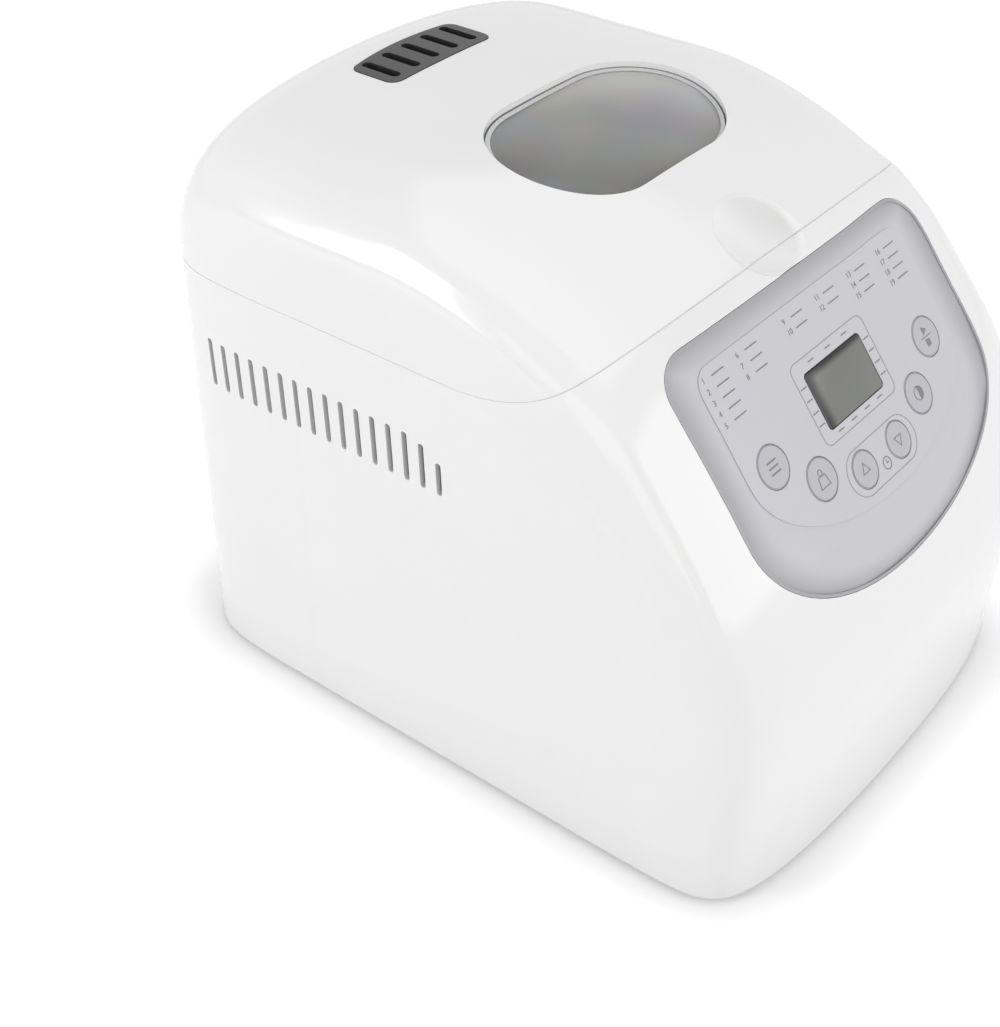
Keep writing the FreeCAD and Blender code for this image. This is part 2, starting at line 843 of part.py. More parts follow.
def lid_window():
    low = shell_wall + skin_gap
    plate = skin_piece(low, window_sink + window_thickness, window_block(window_flange))
    return plate.cut(skin_piece(0.0, window_sink, window_block(0.0)))


def vent_grille():
    low = shell_wall + skin_gap
    top = skin_piece(-0.3, low + flange_thickness, vent_block(-trim_gap))
    flange = skin_piece(low, low + flange_thickness, vent_block(4.0))
    cuts = []
    pitch = vent_slot_width + vent_rib
    for i in range(vent_slot_count):
        x = (i - (vent_slot_count - 1) / 2.0) * pitch
        half = vent_slot_width / 2
        cuts.append(rounded_block(half, vent_slot_depth / 2, half, seam_z, far, x, vent_y + vent_bow / 2))
    return union([top, flange]).cut(cuts)


# Oven chamber, deck and what stands in the chamber
def chamber_block(grow, z0, z1):
    half_y = chamber_depth / 2 + grow
    return rounded_block(chamber_half_x + grow, half_y, chamber_corner + grow, z0, z1, 0.0, chamber_y)


post_places = [(x, y) for x in (-leg_x, leg_x) for y in (chamber_front + 22.0, chamber_back - 22.0)]


def oven_chamber():
    outer = chamber_block(chamber_wall, chamber_floor_z, far)
    inner = chamber_block(0.0, chamber_floor_z + chamber_wall, far)
    tub = outer.cut(inner).common(seam_region(-deck_drop - deck_thickness, False))
    cuts = [cylinder(bush_radius, 0, chamber_y, 0, far)]
    cuts += [cylinder(screw_radius, x, y, 0, chamber_floor_z + 5) for x, y in post_places]
    cuts.append(cylinder_y(sensor_radius, 0, chamber_front - 10, chamber_front + 10, sensor_z))
    for end in (-1, 1):
        cuts.append(cylinder_y(heater_radius + 0.1, end * heater_tail_x, chamber_back - 10, chamber_back + 10, heater_z))
    return tub.cut(cuts)


def deck():
    sheet = form(shell_wall + plate_gap).common(seam_band(-deck_drop - deck_thickness, -deck_drop))
    lip = chamber_block(-mouth_gap, 0, far).cut(chamber_block(-mouth_gap - 1.6, 0, far))
    lip = lip.common(seam_band(-deck_drop - deck_thickness - deck_lip, -deck_drop))
    edge_inset = shell_wall + plate_gap
    rim = skin_piece(edge_inset, edge_inset + deck_rim_wall, seam_band(-deck_drop - 0.5, deck_rim))
    sheet = union([sheet, rim]).cut(scoop(edge_inset))
    mouth = chamber_block(-mouth_gap - 1.6, 0, far)
    plate = union([sheet, lip]).cut(mouth)
    cuts = []
    for side in (-1, 1):
        cuts.append(hinge_block(side, seam_z - leaf_height, seam_z + leaf_height, hinge_total + 2 * leaf_pad, 1.0))
    return plate.cut(cuts)


def loop_wire(half_x, half_y, bend, z, y):
    return rounded_wire(half_x, half_y, bend, 0.0, y, z)


def heater_element():
    # A loop round the pan, open at the back where its two ends go out through the chamber wall
    y0 = chamber_y
    tail_x = heater_tail_x
    r = heater_bend
    hx, hy = heater_x, heater_y
    out = chamber_back + chamber_wall + heater_tail
    points = [
        (-tail_x, out), (-tail_x, y0 + hy), (-hx, y0 + hy), (-hx, y0 - hy), (hx, y0 - hy), (hx, y0 + hy),
        (tail_x, y0 + hy), (tail_x, out)]
    radii = [0, 4.0, r, r, r, r, 4.0, 0]
    path = bent_path([vec(x, y, heater_z) for x, y in points], radii)
    profile = Part.Wire([Part.Circle(vec(-tail_x, out, heater_z), Y, heater_radius).toShape()])
    return path.makePipeShell([profile], True, False)


def bent_path(points, radii):
    edges = []
    previous = points[0]
    for i in range(1, len(points) - 1):
        a = (points[i - 1] - points[i]).normalize()
        b = (points[i + 1] - points[i]).normalize()
        half = a.getAngle(b) / 2.0
        reach = radii[i] / math.tan(half)
        start = points[i] + a * reach
        end = points[i] + b * reach
        middle_dir = (a + b).normalize()
        middle = points[i] + middle_dir * (radii[i] / math.sin(half) - radii[i])
        edges.append(Part.makeLine(previous, start))
        edges.append(Part.Arc(start, middle, end).toShape())
        previous = end
    edges.append(Part.makeLine(previous, points[-1]))
    return Part.Wire(edges)


def heater_clips():
    group = []
    for side in (-1, 1):
        wall = side * chamber_half_x
        for y in (chamber_y - 30.0, chamber_y + 30.0):
            ring = cylinder_y(heater_radius + clip_thickness, side * heater_x, y, y + clip_width, heater_z)
            x0, x1 = sorted((side * heater_x, wall))
            tab = box(x0, x1, y, y + clip_width, heater_z - clip_thickness, heater_z + clip_thickness)
            hole = cylinder_y(heater_radius, side * heater_x, y - 1, y + clip_width + 1, heater_z)
            group.append(union([ring, tab]).cut(hole))
    return Part.makeCompound(group)


def pan_seat():
    z0 = chamber_floor_z + chamber_wall
    outer = pan_ring_radius + seat_gap + seat_wall
    ring = cylinder(outer, 0, chamber_y, z0, z0 + seat_height)
    flange = cylinder(outer + 6.0, 0, chamber_y, z0, z0 + 1.5)
    return union([ring, flange]).cut(cylinder(pan_ring_radius + seat_gap, 0, chamber_y, z0 - 1, far))


def pan_section(grow, taper):
    return rounded_wire(pan_half_x + grow - taper, pan_half_y + grow - taper, pan_corner + grow, 0.0, chamber_y)


pan_taper = 3.0
shaft_mouth = 7.0         # radius of the bearing where it passes the pan's floor


def pan_loft(grow, z0, z1):
    low = pan_section(grow, pan_taper)
    high = pan_section(grow, 0.0)
    low.translate(vec(0, 0, z0))
    high.translate(vec(0, 0, z1))
    return Part.makeLoft([low, high], True, True)


def bread_pan():
    outer = pan_loft(0.0, pan_floor_z - pan_wall, pan_rim_z)
    inner = pan_loft(-pan_wall, pan_floor_z, pan_rim_z + 0.01)
    rim = prism(pan_section(pan_rim_width, 0.0), vec(0, 0, pan_rim_thickness))
    rim.translate(vec(0, 0, pan_rim_z - pan_rim_thickness))
    foot = chamber_floor_z + chamber_wall + 2.0
    ring = cylinder(pan_ring_radius, 0, chamber_y, foot, pan_floor_z - pan_wall)
    ring = ring.cut(cylinder(pan_ring_radius - pan_ring_wall, 0, chamber_y, foot - 1, pan_floor_z - pan_wall))
    ears = []
    for side in (-1, 1):
        x0, x1 = sorted((side * (pan_half_x - 1.0), side * (pan_half_x + pan_rim_width)))
        ears.append(box(x0, x1, chamber_y - ear_half, chamber_y + ear_half, ear_z - ear_half, pan_rim_z - 1.0))
        x0, x1 = sorted((side * (pan_half_x - 1.0), side * (pan_half_x + pan_rim_width + ear_reach)))
        ears.append(cylinder_x(ear_pin_radius, x0, x1, chamber_y, ear_z))
    body = union([outer, rim, ring] + ears).cut(inner)
    return body.cut(cylinder(shaft_mouth, 0, chamber_y, 0, pan_floor_z + 1))


def pan_handle():
    x = pan_half_x + pan_rim_width + ear_gap + handle_radius
    y = chamber_y + handle_reach
    r = handle_bend
    points = [vec(-x, chamber_y, ear_z), vec(-x, y, ear_z), vec(x, y, ear_z), vec(x, chamber_y, ear_z)]
    path = bent_path(points, [0, r, r, 0])
    profile = Part.Wire([Part.Circle(points[0], Y, handle_radius).toShape()])
    rod = path.makePipeShell([profile], True, False)
    eye = ear_pin_radius + 2.2
    parts = [rod]
    cuts = []
    for side in (-1, 1):
        parts.append(cylinder_x(eye, side * x - handle_radius, side * x + handle_radius, chamber_y, ear_z))
        cuts.append(cylinder_x(ear_pin_radius + bore_clearance, side * x - 6, side * x + 6, chamber_y, ear_z))
    return union(parts).cut(cuts)


dog_top = pan_floor_z - pan_wall - 2.5
bearing_foot = dog_top + 0.3


def pan_bearing():
    flange = cylinder(shaft_mouth + 4.0, 0, chamber_y, bearing_foot, pan_floor_z - pan_wall)
    sleeve = cylinder(shaft_mouth, 0, chamber_y, bearing_foot, pan_floor_z + 2.0)
    return union([flange, sleeve]).cut(cylinder(pan_shaft_radius + bore_clearance, 0, chamber_y, 0, far))


def pan_shaft():
    # The pan's own spindle, with a crossbar below that drops between the prongs of the drive
    top = pan_floor_z + paddle_height
    spindle = cylinder(pan_shaft_radius, 0, chamber_y, dog_top - prong_height, top)
    flat = box(-far, far, chamber_y + pan_shaft_radius * 0.6, far, pan_floor_z + 3.0, far)
    bar = box(-dog_radius, dog_radius, chamber_y - 3.0, chamber_y + 3.0, dog_top - prong_height + dog_gap, dog_top)
    bar = bar.common(cylinder(dog_radius, 0, chamber_y, 0, far))
    return union([spindle.cut(flat), bar])


def kneading_paddle():
    z0 = pan_floor_z + 3.0
    top = pan_floor_z + paddle_height + 3.0
    hub = Part.makeCone(paddle_hub_radius, paddle_hub_radius * 0.75, top - z0, vec(0, chamber_y, z0))
    half = paddle_thickness / 2
    blade_wire = Part.makePolygon([
        vec(0, chamber_y - half, z0), vec(paddle_reach, chamber_y - half, z0),
        vec(paddle_reach * 0.82, chamber_y - half, top - 2.0), vec(0, chamber_y - half, top),
        vec(0, chamber_y - half, z0)])
    blade = prism(blade_wire, vec(0, paddle_thickness, 0))
    tip = [e for e in blade.Edges if e.BoundBox.YLength > half and e.BoundBox.XMin > half]
    blade = blade.makeFillet(half * 1.2, tip)
    bore = cylinder(pan_shaft_radius + 0.1, 0, chamber_y, 0, pan_floor_z + paddle_height + 0.1)
    return union([hub, blade]).cut(bore)


# Drive below the chamber
def drive_shaft():
    disc_top = dog_top - prong_height - 0.4
    disc_foot = disc_top - dog_disc
    shaft = cylinder(shaft_radius, 0, chamber_y, pulley_z - 2.0, disc_foot)
    disc = cylinder(dog_radius, 0, chamber_y, disc_foot, disc_top)
    prongs = cylinder(dog_radius, 0, chamber_y, disc_top, disc_top + prong_height)
    prongs = prongs.cut(cylinder(pan_shaft_radius + 1.5, 0, chamber_y, 0, far))
    prongs = prongs.cut(box(-far, far, chamber_y - 3.0 - dog_gap, chamber_y + 3.0 + dog_gap, 0, far))
    prongs = prongs.cut(box(-far, far, chamber_y - far, chamber_y - 9.0, 0, far))
    prongs = prongs.cut(box(-far, far, chamber_y + 9.0, chamber_y + far, 0, far))
    return union([shaft, disc, prongs])


def shaft_bearing():
    top = dog_top - prong_height - 0.4 - dog_disc - 0.3
    body = cylinder(bush_radius, 0, chamber_y, chassis_top, top)
    flange = cylinder(bush_radius + 7.0, 0, chamber_y, chassis_top, chassis_top + 3.0)
    return union([body, flange]).cut(cylinder(shaft_radius + bore_clearance, 0, chamber_y, 0, far))


def pulley(groove, bore, y):
    rim = groove + groove_depth
    z0, z1 = pulley_z, pulley_z + pulley_width
    body = cylinder(rim, 0, y, z0, z1)
    slot = cylinder(rim + 1, 0, y, z0 + flange_width, z1 - flange_width)
    body = body.cut(slot.cut(cylinder(groove, 0, y, z0 - 1, z1 + 1)))
    return body.cut(cylinder(bore, 0, y, z0 - 1, z1 + 1))


def driven_pulley():
    body = pulley(driven_groove, shaft_radius, chamber_y)
    hub = shaft_radius + 6.0
    pocket = cylinder(driven_groove - 4.0, 0, chamber_y, pulley_z + pulley_web, far)
    pocket = pocket.cut(cylinder(hub, 0, chamber_y, 0, far))
    holes = []
    for i in range(5):
        a = 2.0 * math.pi * i / 5
        r = (driven_groove - 4.0 + hub) / 2
        holes.append(cylinder(6.0, r * math.cos(a), chamber_y + r * math.sin(a), 0, far))
    return body.cut([pocket] + holes)


def motor_pulley():
    return pulley(motor_groove, motor_shaft_radius, motor_y)


def belt_loop(grow):
    # Two arcs and the two straight runs that touch both pulleys
    r0 = driven_groove + belt_gap + grow
    r1 = motor_groove + belt_gap + grow
    run = motor_y - chamber_y
    a = math.asin((r0 - r1) / run)
    def at(radius, y, angle):
        return vec(radius * math.cos(angle), y + radius * math.sin(angle), pulley_z + flange_width + 0.5)
    p0, p1 = at(r0, chamber_y, a), at(r1, motor_y, a)
    p2, p3 = at(r1, motor_y, math.pi - a), at(r0, chamber_y, math.pi - a)
    far_end = at(r1, motor_y, math.pi / 2)
    near_end = at(r0, chamber_y, -math.pi / 2)
    return Part.Wire([
        Part.makeLine(p0, p1), Part.Arc(p1, far_end, p2).toShape(), Part.makeLine(p2, p3),
        Part.Arc(p3, near_end, p0).toShape()])


def drive_belt():
    up = vec(0, 0, pulley_width - 2 * flange_width - 1.0)
    return prism(belt_loop(belt_thickness), up).cut(prism(belt_loop(0.0), up))


motor_foot = chassis_top + bracket_thickness


def motor():
    can = cylinder(motor_radius, 0, motor_y, motor_foot, motor_foot + motor_height)
    edges = [e for e in can.Edges if abs(e.BoundBox.ZMin - motor_foot - motor_height) < 1e-6 and e.BoundBox.ZLength < 1e-6]
    can = can.makeFillet(4.0, edges)
    bore = cylinder(motor_shaft_radius + bore_clearance, 0, motor_y, motor_foot - 1, motor_foot + motor_height * 0.6)
    vents = []
    for i in range(8):
        a = math.pi / 4 * i
        vents.append(cylinder(4.0, 24.0 * math.cos(a), motor_y + 24.0 * math.sin(a), motor_foot + motor_height - 8, far))
    return can.cut([bore] + vents)


def motor_shaft():
    return cylinder(motor_shaft_radius, 0, motor_y, pulley_z - 1.0, motor_foot + motor_height * 0.6 - 1.0)


bracket_half = motor_radius + 9.0
bracket_places = [(x, motor_y + y) for x in (-motor_radius - 3, motor_radius + 3) for y in (-16.0, 16.0)]


def motor_bracket():
    plate = rounded_block(bracket_half, motor_radius - 8.0, 6.0, chassis_top, motor_foot, 0.0, motor_y)
    cuts = [cylinder(motor_shaft_radius + 3.0, 0, motor_y, 0, far)]
    cuts += [cylinder(screw_radius, x, y, 0, far) for x, y in bracket_places]
    return plate.cut(cuts)


def cap_screw(x, y, seat, length):
    shank = cylinder(screw_radius, x, y, seat - length, seat)
    head = cylinder(screw_head_radius, x, y, seat, seat + screw_head_height)
    slot = box(x - 2.4, x + 2.4, y - 0.4, y + 0.4, seat + screw_head_height - 0.8, seat + screw_head_height)
    return union([shank, head]).cut(slot)


def bracket_screws():
    length = bracket_thickness + chassis_thickness + 2.0
    return Part.makeCompound([cap_screw(x, y, motor_foot, length) for x, y in bracket_places])


def chamber_screws():
    seat = chamber_floor_z + chamber_wall
    return Part.makeCompound([cap_screw(x, y, seat, 9.0) for x, y in post_places])


# Chassis, base and feet
leg_places = [(x, y) for x in (-leg_x, leg_x) for y in (chamber_front + 8.0, motor_y - 14.0)]


def chassis_frame():
    y0, y1 = chamber_front - 6.0, motor_y + motor_radius - 8.0
    plate = rounded_block(chassis_half_x, (y1 - y0) / 2, 14.0, chassis_z, chassis_top, 0.0, (y0 + y1) / 2)
    legs = [cylinder(leg_radius, x, y, base_top, chassis_z) for x, y in leg_places]
    posts = [cylinder(post_radius, x, y, chassis_top, chamber_floor_z) for x, y in post_places]
    frame = union([plate] + legs + posts)
    cuts = [cylinder(shaft_radius + 2.0, 0, chamber_y, 0, far)]
    cuts.append(cylinder(motor_shaft_radius + 3.0, 0, motor_y, 0, far))
    cuts += [cylinder(screw_radius, x, y, 0, far) for x, y in bracket_places]
    cuts += [cylinder(screw_radius, x, y, chamber_floor_z - 11.0, far) for x, y in post_places]
    cuts += [cylinder(screw_radius, x, y, 0, base_top + 12.0) for x, y in leg_places]
    return frame.cut(cuts)


foot_places = [(x, y) for x in (-foot_x, foot_x) for y in (foot_front_y, foot_back_y)]


def base_plate():
    plate = form(shell_wall + plate_gap).common(box(-far, far, -far, far, shell_bottom, base_top))
    cuts = [cylinder(screw_radius + 0.2, x, y, 0, far) for x, y in leg_places]
    cuts += [cylinder(stud_radius, x, y, 0, far) for x, y in foot_places]
    half = base_slot_length / 2
    for i in range(base_slot_count):
        x = (i - (base_slot_count - 1) / 2.0) * base_slot_pitch
        cuts.append(rounded_block(base_slot_width / 2, half, 2.0, 0, base_top + 1, x, foot_front_y + 64.0))
    return plate.cut(cuts)


def rubber_feet():
    group = []
    for x, y in foot_places:
        pad = Part.makeCone(foot_radius - 1.0, foot_radius, foot_height, vec(x, y, 0))
        stud = cylinder(stud_radius, x, y, foot_height, base_top)
        cap = cylinder(stud_radius + 1.5, x, y, base_top, base_top + 1.5)
        group.append(union([pad, stud, cap]))
    return Part.makeCompound(group)


def base_screws():
    group = []
    head = 1.6
    for x, y in leg_places:
        shank = cylinder(screw_radius, x, y, shell_bottom, base_top + 10.0)
        disc = cylinder(screw_head_radius, x, y, shell_bottom - head, shell_bottom)
        slot = box(x - 2.4, x + 2.4, y - 0.4, y + 0.4, shell_bottom - head, shell_bottom - head + 0.7)
        group.append(union([shank, disc]).cut(slot))
    return Part.makeCompound(group)


# Electrics
def run_capacitor():
    y = motor_y - 4.0
    can = cylinder(capacitor_radius, capacitor_x, y, chassis_top, chassis_top + capacitor_height)
    top = chassis_top + capacitor_height
    edges = [e for e in can.Edges if abs(e.BoundBox.ZMin - top) < 1e-6 and e.BoundBox.ZLength < 1e-6]
    can = can.makeFillet(2.5, edges)
    tabs = [box(capacitor_x + s * 5 - 0.4, capacitor_x + s * 5 + 0.4, y - 3, y + 3, top - 0.5, top + 7) for s in (-1, 1)]
    return union([can] + tabs)


def power_board():
    x0 = bracket_half + 2.0
    x1 = x0 + power_board_width
    y0 = chamber_back + chamber_wall + motor_gap
    y1 = y0 + power_board_depth
    z0 = chassis_top + standoff_height
    z1 = z0 + board_thickness
    parts = [box(x0, x1, y0, y1, z0, z1)]
    for x in (x0 + 4.0, x1 - 4.0):
        for y in (y0 + 4.0, y1 - 4.0):
            parts.append(cylinder(2.5, x, y, chassis_top, z0))
    parts.append(box(x0 + 4, x0 + 30, y0 + 5, y0 + 31, z1, z1 + 24))
    parts.append(box(x1 - 17, x1 - 4, y1 - 24, y1 - 9, z1, z1 + 16))
    parts.append(cylinder(6.0, x0 + 14, y1 - 10, z1, z1 + 20))
    return union(parts)


def cord_inlet():
    y = inlet_axis_y()
    barrel = cylinder_y(inlet_radius, inlet_x, y - 12.0, back_y, inlet_z).common(form(-inlet_flange_thickness))
    collar = cylinder_y(inlet_radius + inlet_flange, inlet_x, y - 30.0, back_y + 10, inlet_z)
    outer = skin_piece(-inlet_flange_thickness, -skin_gap, collar)
    low = shell_wall + skin_gap
    inner = skin_piece(low, low + flange_thickness, collar)
    back_half = box(-far, far, 0, far, 0, far)
    bore = cylinder_y(inlet_bore, inlet_x, y - 40.0, back_y + 20, inlet_z)
    return union([barrel, outer, inner]).common(back_half).cut(bore)


def temperature_sensor():
    y0 = chamber_front - chamber_wall
    probe = cylinder_y(sensor_radius, 0, y0 - 8.0, chamber_front + sensor_length - 8.0, sensor_z)
    nut = cylinder_y(sensor_radius + 3.0, 0, y0 - 4.0, y0, sensor_z)
    return union([probe, nut])


def thermal_fuse():
    y = chamber_back + chamber_wall
    x = chamber_half_x * 0.6
    plate = box(x - fuse_length / 2 - 5, x + fuse_length / 2 + 5, y, y + 1.0, fuse_z - fuse_radius, fuse_z + fuse_radius)
    fuse = cylinder_x(fuse_radius, x - fuse_length / 2, x + fuse_length / 2, y + fuse_radius, fuse_z)
    fuse = fuse.common(box(-far, far, y, far, 0, far))
    return union([plate, fuse])


MAKERS = {
    "body_shell": body_shell,
    "control_panel": control_panel,
    "keypad_overlay": keypad_overlay,
    "screen_lens": screen_lens,
    "screen_module": screen_module,
    "control_board": control_board,
    "key_switches": key_switches,
    "lid_shell": lid_shell,
    "lid_liner": lid_liner,
    "lid_liner_screws": lid_liner_screws,
    "lid_window": lid_window,
    "vent_grille": vent_grille,
    "lid_hinge_leaves": lid_hinge_leaves,
    "hinge_brackets": hinge_brackets,
    "hinge_pins": hinge_pins,
    "oven_chamber": oven_chamber,
    "chamber_deck": deck,
    "heater_element": heater_element,
    "heater_clips": heater_clips,
    "pan_seat": pan_seat,
    "bread_pan": bread_pan,
    "pan_handle": pan_handle,
    "pan_bearing": pan_bearing,
    "pan_shaft": pan_shaft,
    "kneading_paddle": kneading_paddle,
    "drive_shaft": drive_shaft,
    "shaft_bearing": shaft_bearing,
    "driven_pulley": driven_pulley,
    "motor_pulley": motor_pulley,
    "drive_belt": drive_belt,
    "motor": motor,
    "motor_shaft": motor_shaft,
    "motor_bracket": motor_bracket,
    "bracket_screws": bracket_screws,
    "chamber_screws": chamber_screws,
    "chassis_frame": chassis_frame,
    "base_plate": base_plate,
    "rubber_feet": rubber_feet,
    "base_screws": base_screws,
    "run_capacitor": run_capacitor,
    "power_board": power_board,
    "cord_inlet": cord_inlet,
    "temperature_sensor": temperature_sensor,
    "thermal_fuse": thermal_fuse,
}


def main():
    os.makedirs("parts", exist_ok=True)
    for name, maker in MAKERS.items():
        shape = maker()
        shape.exportStep("parts/" + name + ".step")
        print(name, "solids", len(shape.Solids), "valid", shape.isValid(), "volume", round(shape.Volume))
    for name, (x, u, radius) in KEYS.items():
        shape = key(x, u, radius)
        shape.exportStep("parts/" + name + ".step")
        print(name, "solids", len(shape.Solids), "valid", shape.isValid(), "volume", round(shape.Volume))


main()
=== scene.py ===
import math
import bpy
from mathutils import Matrix, Vector


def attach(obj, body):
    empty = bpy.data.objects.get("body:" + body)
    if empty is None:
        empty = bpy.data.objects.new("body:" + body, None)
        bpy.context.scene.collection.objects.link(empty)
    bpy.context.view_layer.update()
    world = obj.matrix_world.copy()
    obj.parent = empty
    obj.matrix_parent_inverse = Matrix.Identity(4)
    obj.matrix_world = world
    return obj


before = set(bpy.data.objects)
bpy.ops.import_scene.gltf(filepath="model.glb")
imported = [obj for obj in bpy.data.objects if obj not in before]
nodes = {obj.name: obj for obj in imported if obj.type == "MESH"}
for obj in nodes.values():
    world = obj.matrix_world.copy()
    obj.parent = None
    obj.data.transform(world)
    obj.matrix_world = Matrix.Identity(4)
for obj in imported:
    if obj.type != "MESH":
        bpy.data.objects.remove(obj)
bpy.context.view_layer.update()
mm = 0.001
print("frame loaded with", len(nodes), "nodes")

smoothAngle = math.radians(35)
facing = 0.9  # a face looks along a direction when its normal reaches this share of it
roundSteps = 48
mergeFine = 0.01 * mm
mergeCopied = 0.02 * mm


# plain helpers for working on one object at a time
def clearSelection():
    if bpy.context.mode != "OBJECT":
        bpy.ops.object.mode_set(mode="OBJECT")
    bpy.ops.object.select_all(action="DESELECT")


def activate(obj):
    clearSelection()
    obj.select_set(True)
    bpy.context.view_layer.objects.active = obj
    return obj


def enterEdit(obj, kind, action):
    activate(obj)
    bpy.ops.object.mode_set(mode="EDIT")
    bpy.ops.mesh.select_mode(type=kind)
    bpy.ops.mesh.select_all(action=action)


def editAll(obj, kind="FACE"):
    enterEdit(obj, kind, "SELECT")


def leaveEdit():
    bpy.ops.object.mode_set(mode="OBJECT")


def pickFaces(obj, test):
    # select only the faces whose middle and normal pass the test
    enterEdit(obj, "FACE", "DESELECT")
    leaveEdit()
    for face in obj.data.polygons:
        face.select = test(face.center, face.normal)
    bpy.ops.object.mode_set(mode="EDIT")


def pickCorners(obj, test):
    # select only the corners whose place passes the test
    enterEdit(obj, "VERT", "DESELECT")
    leaveEdit()
    for corner in obj.data.vertices:
        corner.select = test(corner.co)
    bpy.ops.object.mode_set(mode="EDIT")


def turnNormalsOut():
    bpy.ops.mesh.select_all(action="SELECT")
    bpy.ops.mesh.normals_make_consistent(inside=False)


def pushOut(height):
    bpy.ops.mesh.extrude_region_move(TRANSFORM_OT_translate={"value": (0, 0, height)})


def applyModifier(obj, kind, name, **settings):
    activate(obj)
    modifier = obj.modifiers.new(name, kind)
    for key, value in settings.items():
        setattr(modifier, key, value)
    bpy.ops.object.modifier_apply(modifier=name)


def settle(obj, matrix=None):
    # put the place into the mesh, so the object sits at the origin
    if matrix is not None:
        obj.matrix_world = matrix @ obj.matrix_world
        bpy.context.view_layer.update()
    activate(obj)
    bpy.ops.object.transform_apply(location=True, rotation=True, scale=True)
    return obj


def joinPieces(pieces):
    clearSelection()
    for piece in pieces:
        piece.select_set(True)
    bpy.context.view_layer.objects.active = pieces[0]
    if len(pieces) > 1:
        bpy.ops.object.join()
    return bpy.context.view_layer.objects.active


def setMaterial(obj, material):
    obj.data.materials.clear()
    obj.data.materials.append(material)


def finishPiece(obj, name, finishName, body):
    obj.name = name
    obj.data.name = name
    setMaterial(obj, finishes[finishName])
    activate(obj)
    bpy.ops.object.shade_smooth_by_angle(angle=smoothAngle)
    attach(obj, body)


# the key panel lies on its own slope
panelSlope = dict(y=-138.0372 * mm, z=201.6689 * mm, angle=math.radians(54.38677))
slopeMatrix = (Matrix.Translation((0, panelSlope["y"], panelSlope["z"]))
               @ Matrix.Rotation(panelSlope["angle"], 4, "X"))
slopeBack = slopeMatrix.inverted()


def slopeTop(nodeName):
    return max((slopeBack @ v.co).z for v in nodes[nodeName].data.vertices)


overlayFace = slopeTop("keypad_overlay")
print("overlay face at", round(overlayFace / mm, 2), "mm over the slope")


# small steps for building a shader tree
def link(tree, source, target):
    tree.links.new(source, target)


def feed(tree, value, socket):
    # a plain value, a colour or another node's output
    if isinstance(value, bpy.types.NodeSocket):
        link(tree, value, socket)
    elif socket.type == "RGBA":
        socket.default_value = (*value, 1.0)
    else:
        socket.default_value = value


def mapRange(tree, value, low, high, fromLow=0.0, fromHigh=1.0):
    node = tree.nodes.new("ShaderNodeMapRange")
    node.inputs["From Min"].default_value = fromLow
    node.inputs["From Max"].default_value = fromHigh
    node.inputs["To Min"].default_value = low
    node.inputs["To Max"].default_value = high
    link(tree, value, node.inputs["Value"])
    return node.outputs["Result"]


def smoothRange(tree, value, fromLow, fromHigh):
    result = mapRange(tree, value, 0.0, 1.0, fromLow, fromHigh)
    result.node.interpolation_type = "SMOOTHSTEP"
    return result


def calc(tree, operation, *values):
    node = tree.nodes.new("ShaderNodeMath")
    node.operation = operation
    for value, socket in zip(values, node.inputs):
        feed(tree, value, socket)
    return node.outputs["Value"]


def objectPlace(tree):
    return tree.nodes.new("ShaderNodeTexCoord").outputs["Object"]


def movedPlace(tree, location, rotation=(0, 0, 0)):
    # object coordinates measured from another place
    moved = tree.nodes.new("ShaderNodeMapping")
    moved.vector_type = "TEXTURE"
    moved.inputs["Location"].default_value = location
    moved.inputs["Rotation"].default_value = rotation
    link(tree, objectPlace(tree), moved.inputs["Vector"])
    return moved.outputs["Vector"]


def splitPlace(tree, vector):
    parts = tree.nodes.new("ShaderNodeSeparateXYZ")
    link(tree, vector, parts.inputs["Vector"])
    return parts.outputs


def slopePlace(tree):
    # across and up, measured on the panel's slope
    place = movedPlace(tree, (0, panelSlope["y"], panelSlope["z"]), (panelSlope["angle"], 0, 0))
    parts = splitPlace(tree, place)
    return parts["X"], parts["Y"]


def noise(tree, vector, scale, detail=3.0, rough=0.5):
    node = tree.nodes.new("ShaderNodeTexNoise")
    node.inputs["Detail"].default_value = detail
    node.inputs["Roughness"].default_value = rough
    feed(tree, scale, node.inputs["Scale"])
    link(tree, vector, node.inputs["Vector"])
    return node.outputs


mixSockets = dict(mask=0, low=6, high=7, result=2)  # those that a colour mix uses


def tint(tree, mask, low, high):
    node = tree.nodes.new("ShaderNodeMix")
    node.data_type = "RGBA"
    feed(tree, mask, node.inputs[mixSockets["mask"]])
    feed(tree, low, node.inputs[mixSockets["low"]])
    feed(tree, high, node.inputs[mixSockets["high"]])
    return node.outputs[mixSockets["result"]]


def bumpFrom(tree, shader, height, strength, distance):
    node = tree.nodes.new("ShaderNodeBump")
    node.inputs["Strength"].default_value = strength
    node.inputs["Distance"].default_value = distance
    link(tree, height, node.inputs["Height"])
    link(tree, node.outputs["Normal"], shader.inputs["Normal"])


# shader groups shared by several finishes
grain = dict(softDetail=2.0, patchScale=22.0, patchDetail=4.0, speckRough=0.6)


def newGroup(name, inputs, outputs):
    group = bpy.data.node_groups.new(name, "ShaderNodeTree")
    for label, kind in inputs.items():
        group.interface.new_socket(label, in_out="INPUT", socket_type=kind)
    for label in outputs:
        group.interface.new_socket(label, in_out="OUTPUT", socket_type="NodeSocketFloat")
    start = group.nodes.new("NodeGroupInput")
    end = group.nodes.new("NodeGroupOutput")
    return group, start.outputs, end.inputs


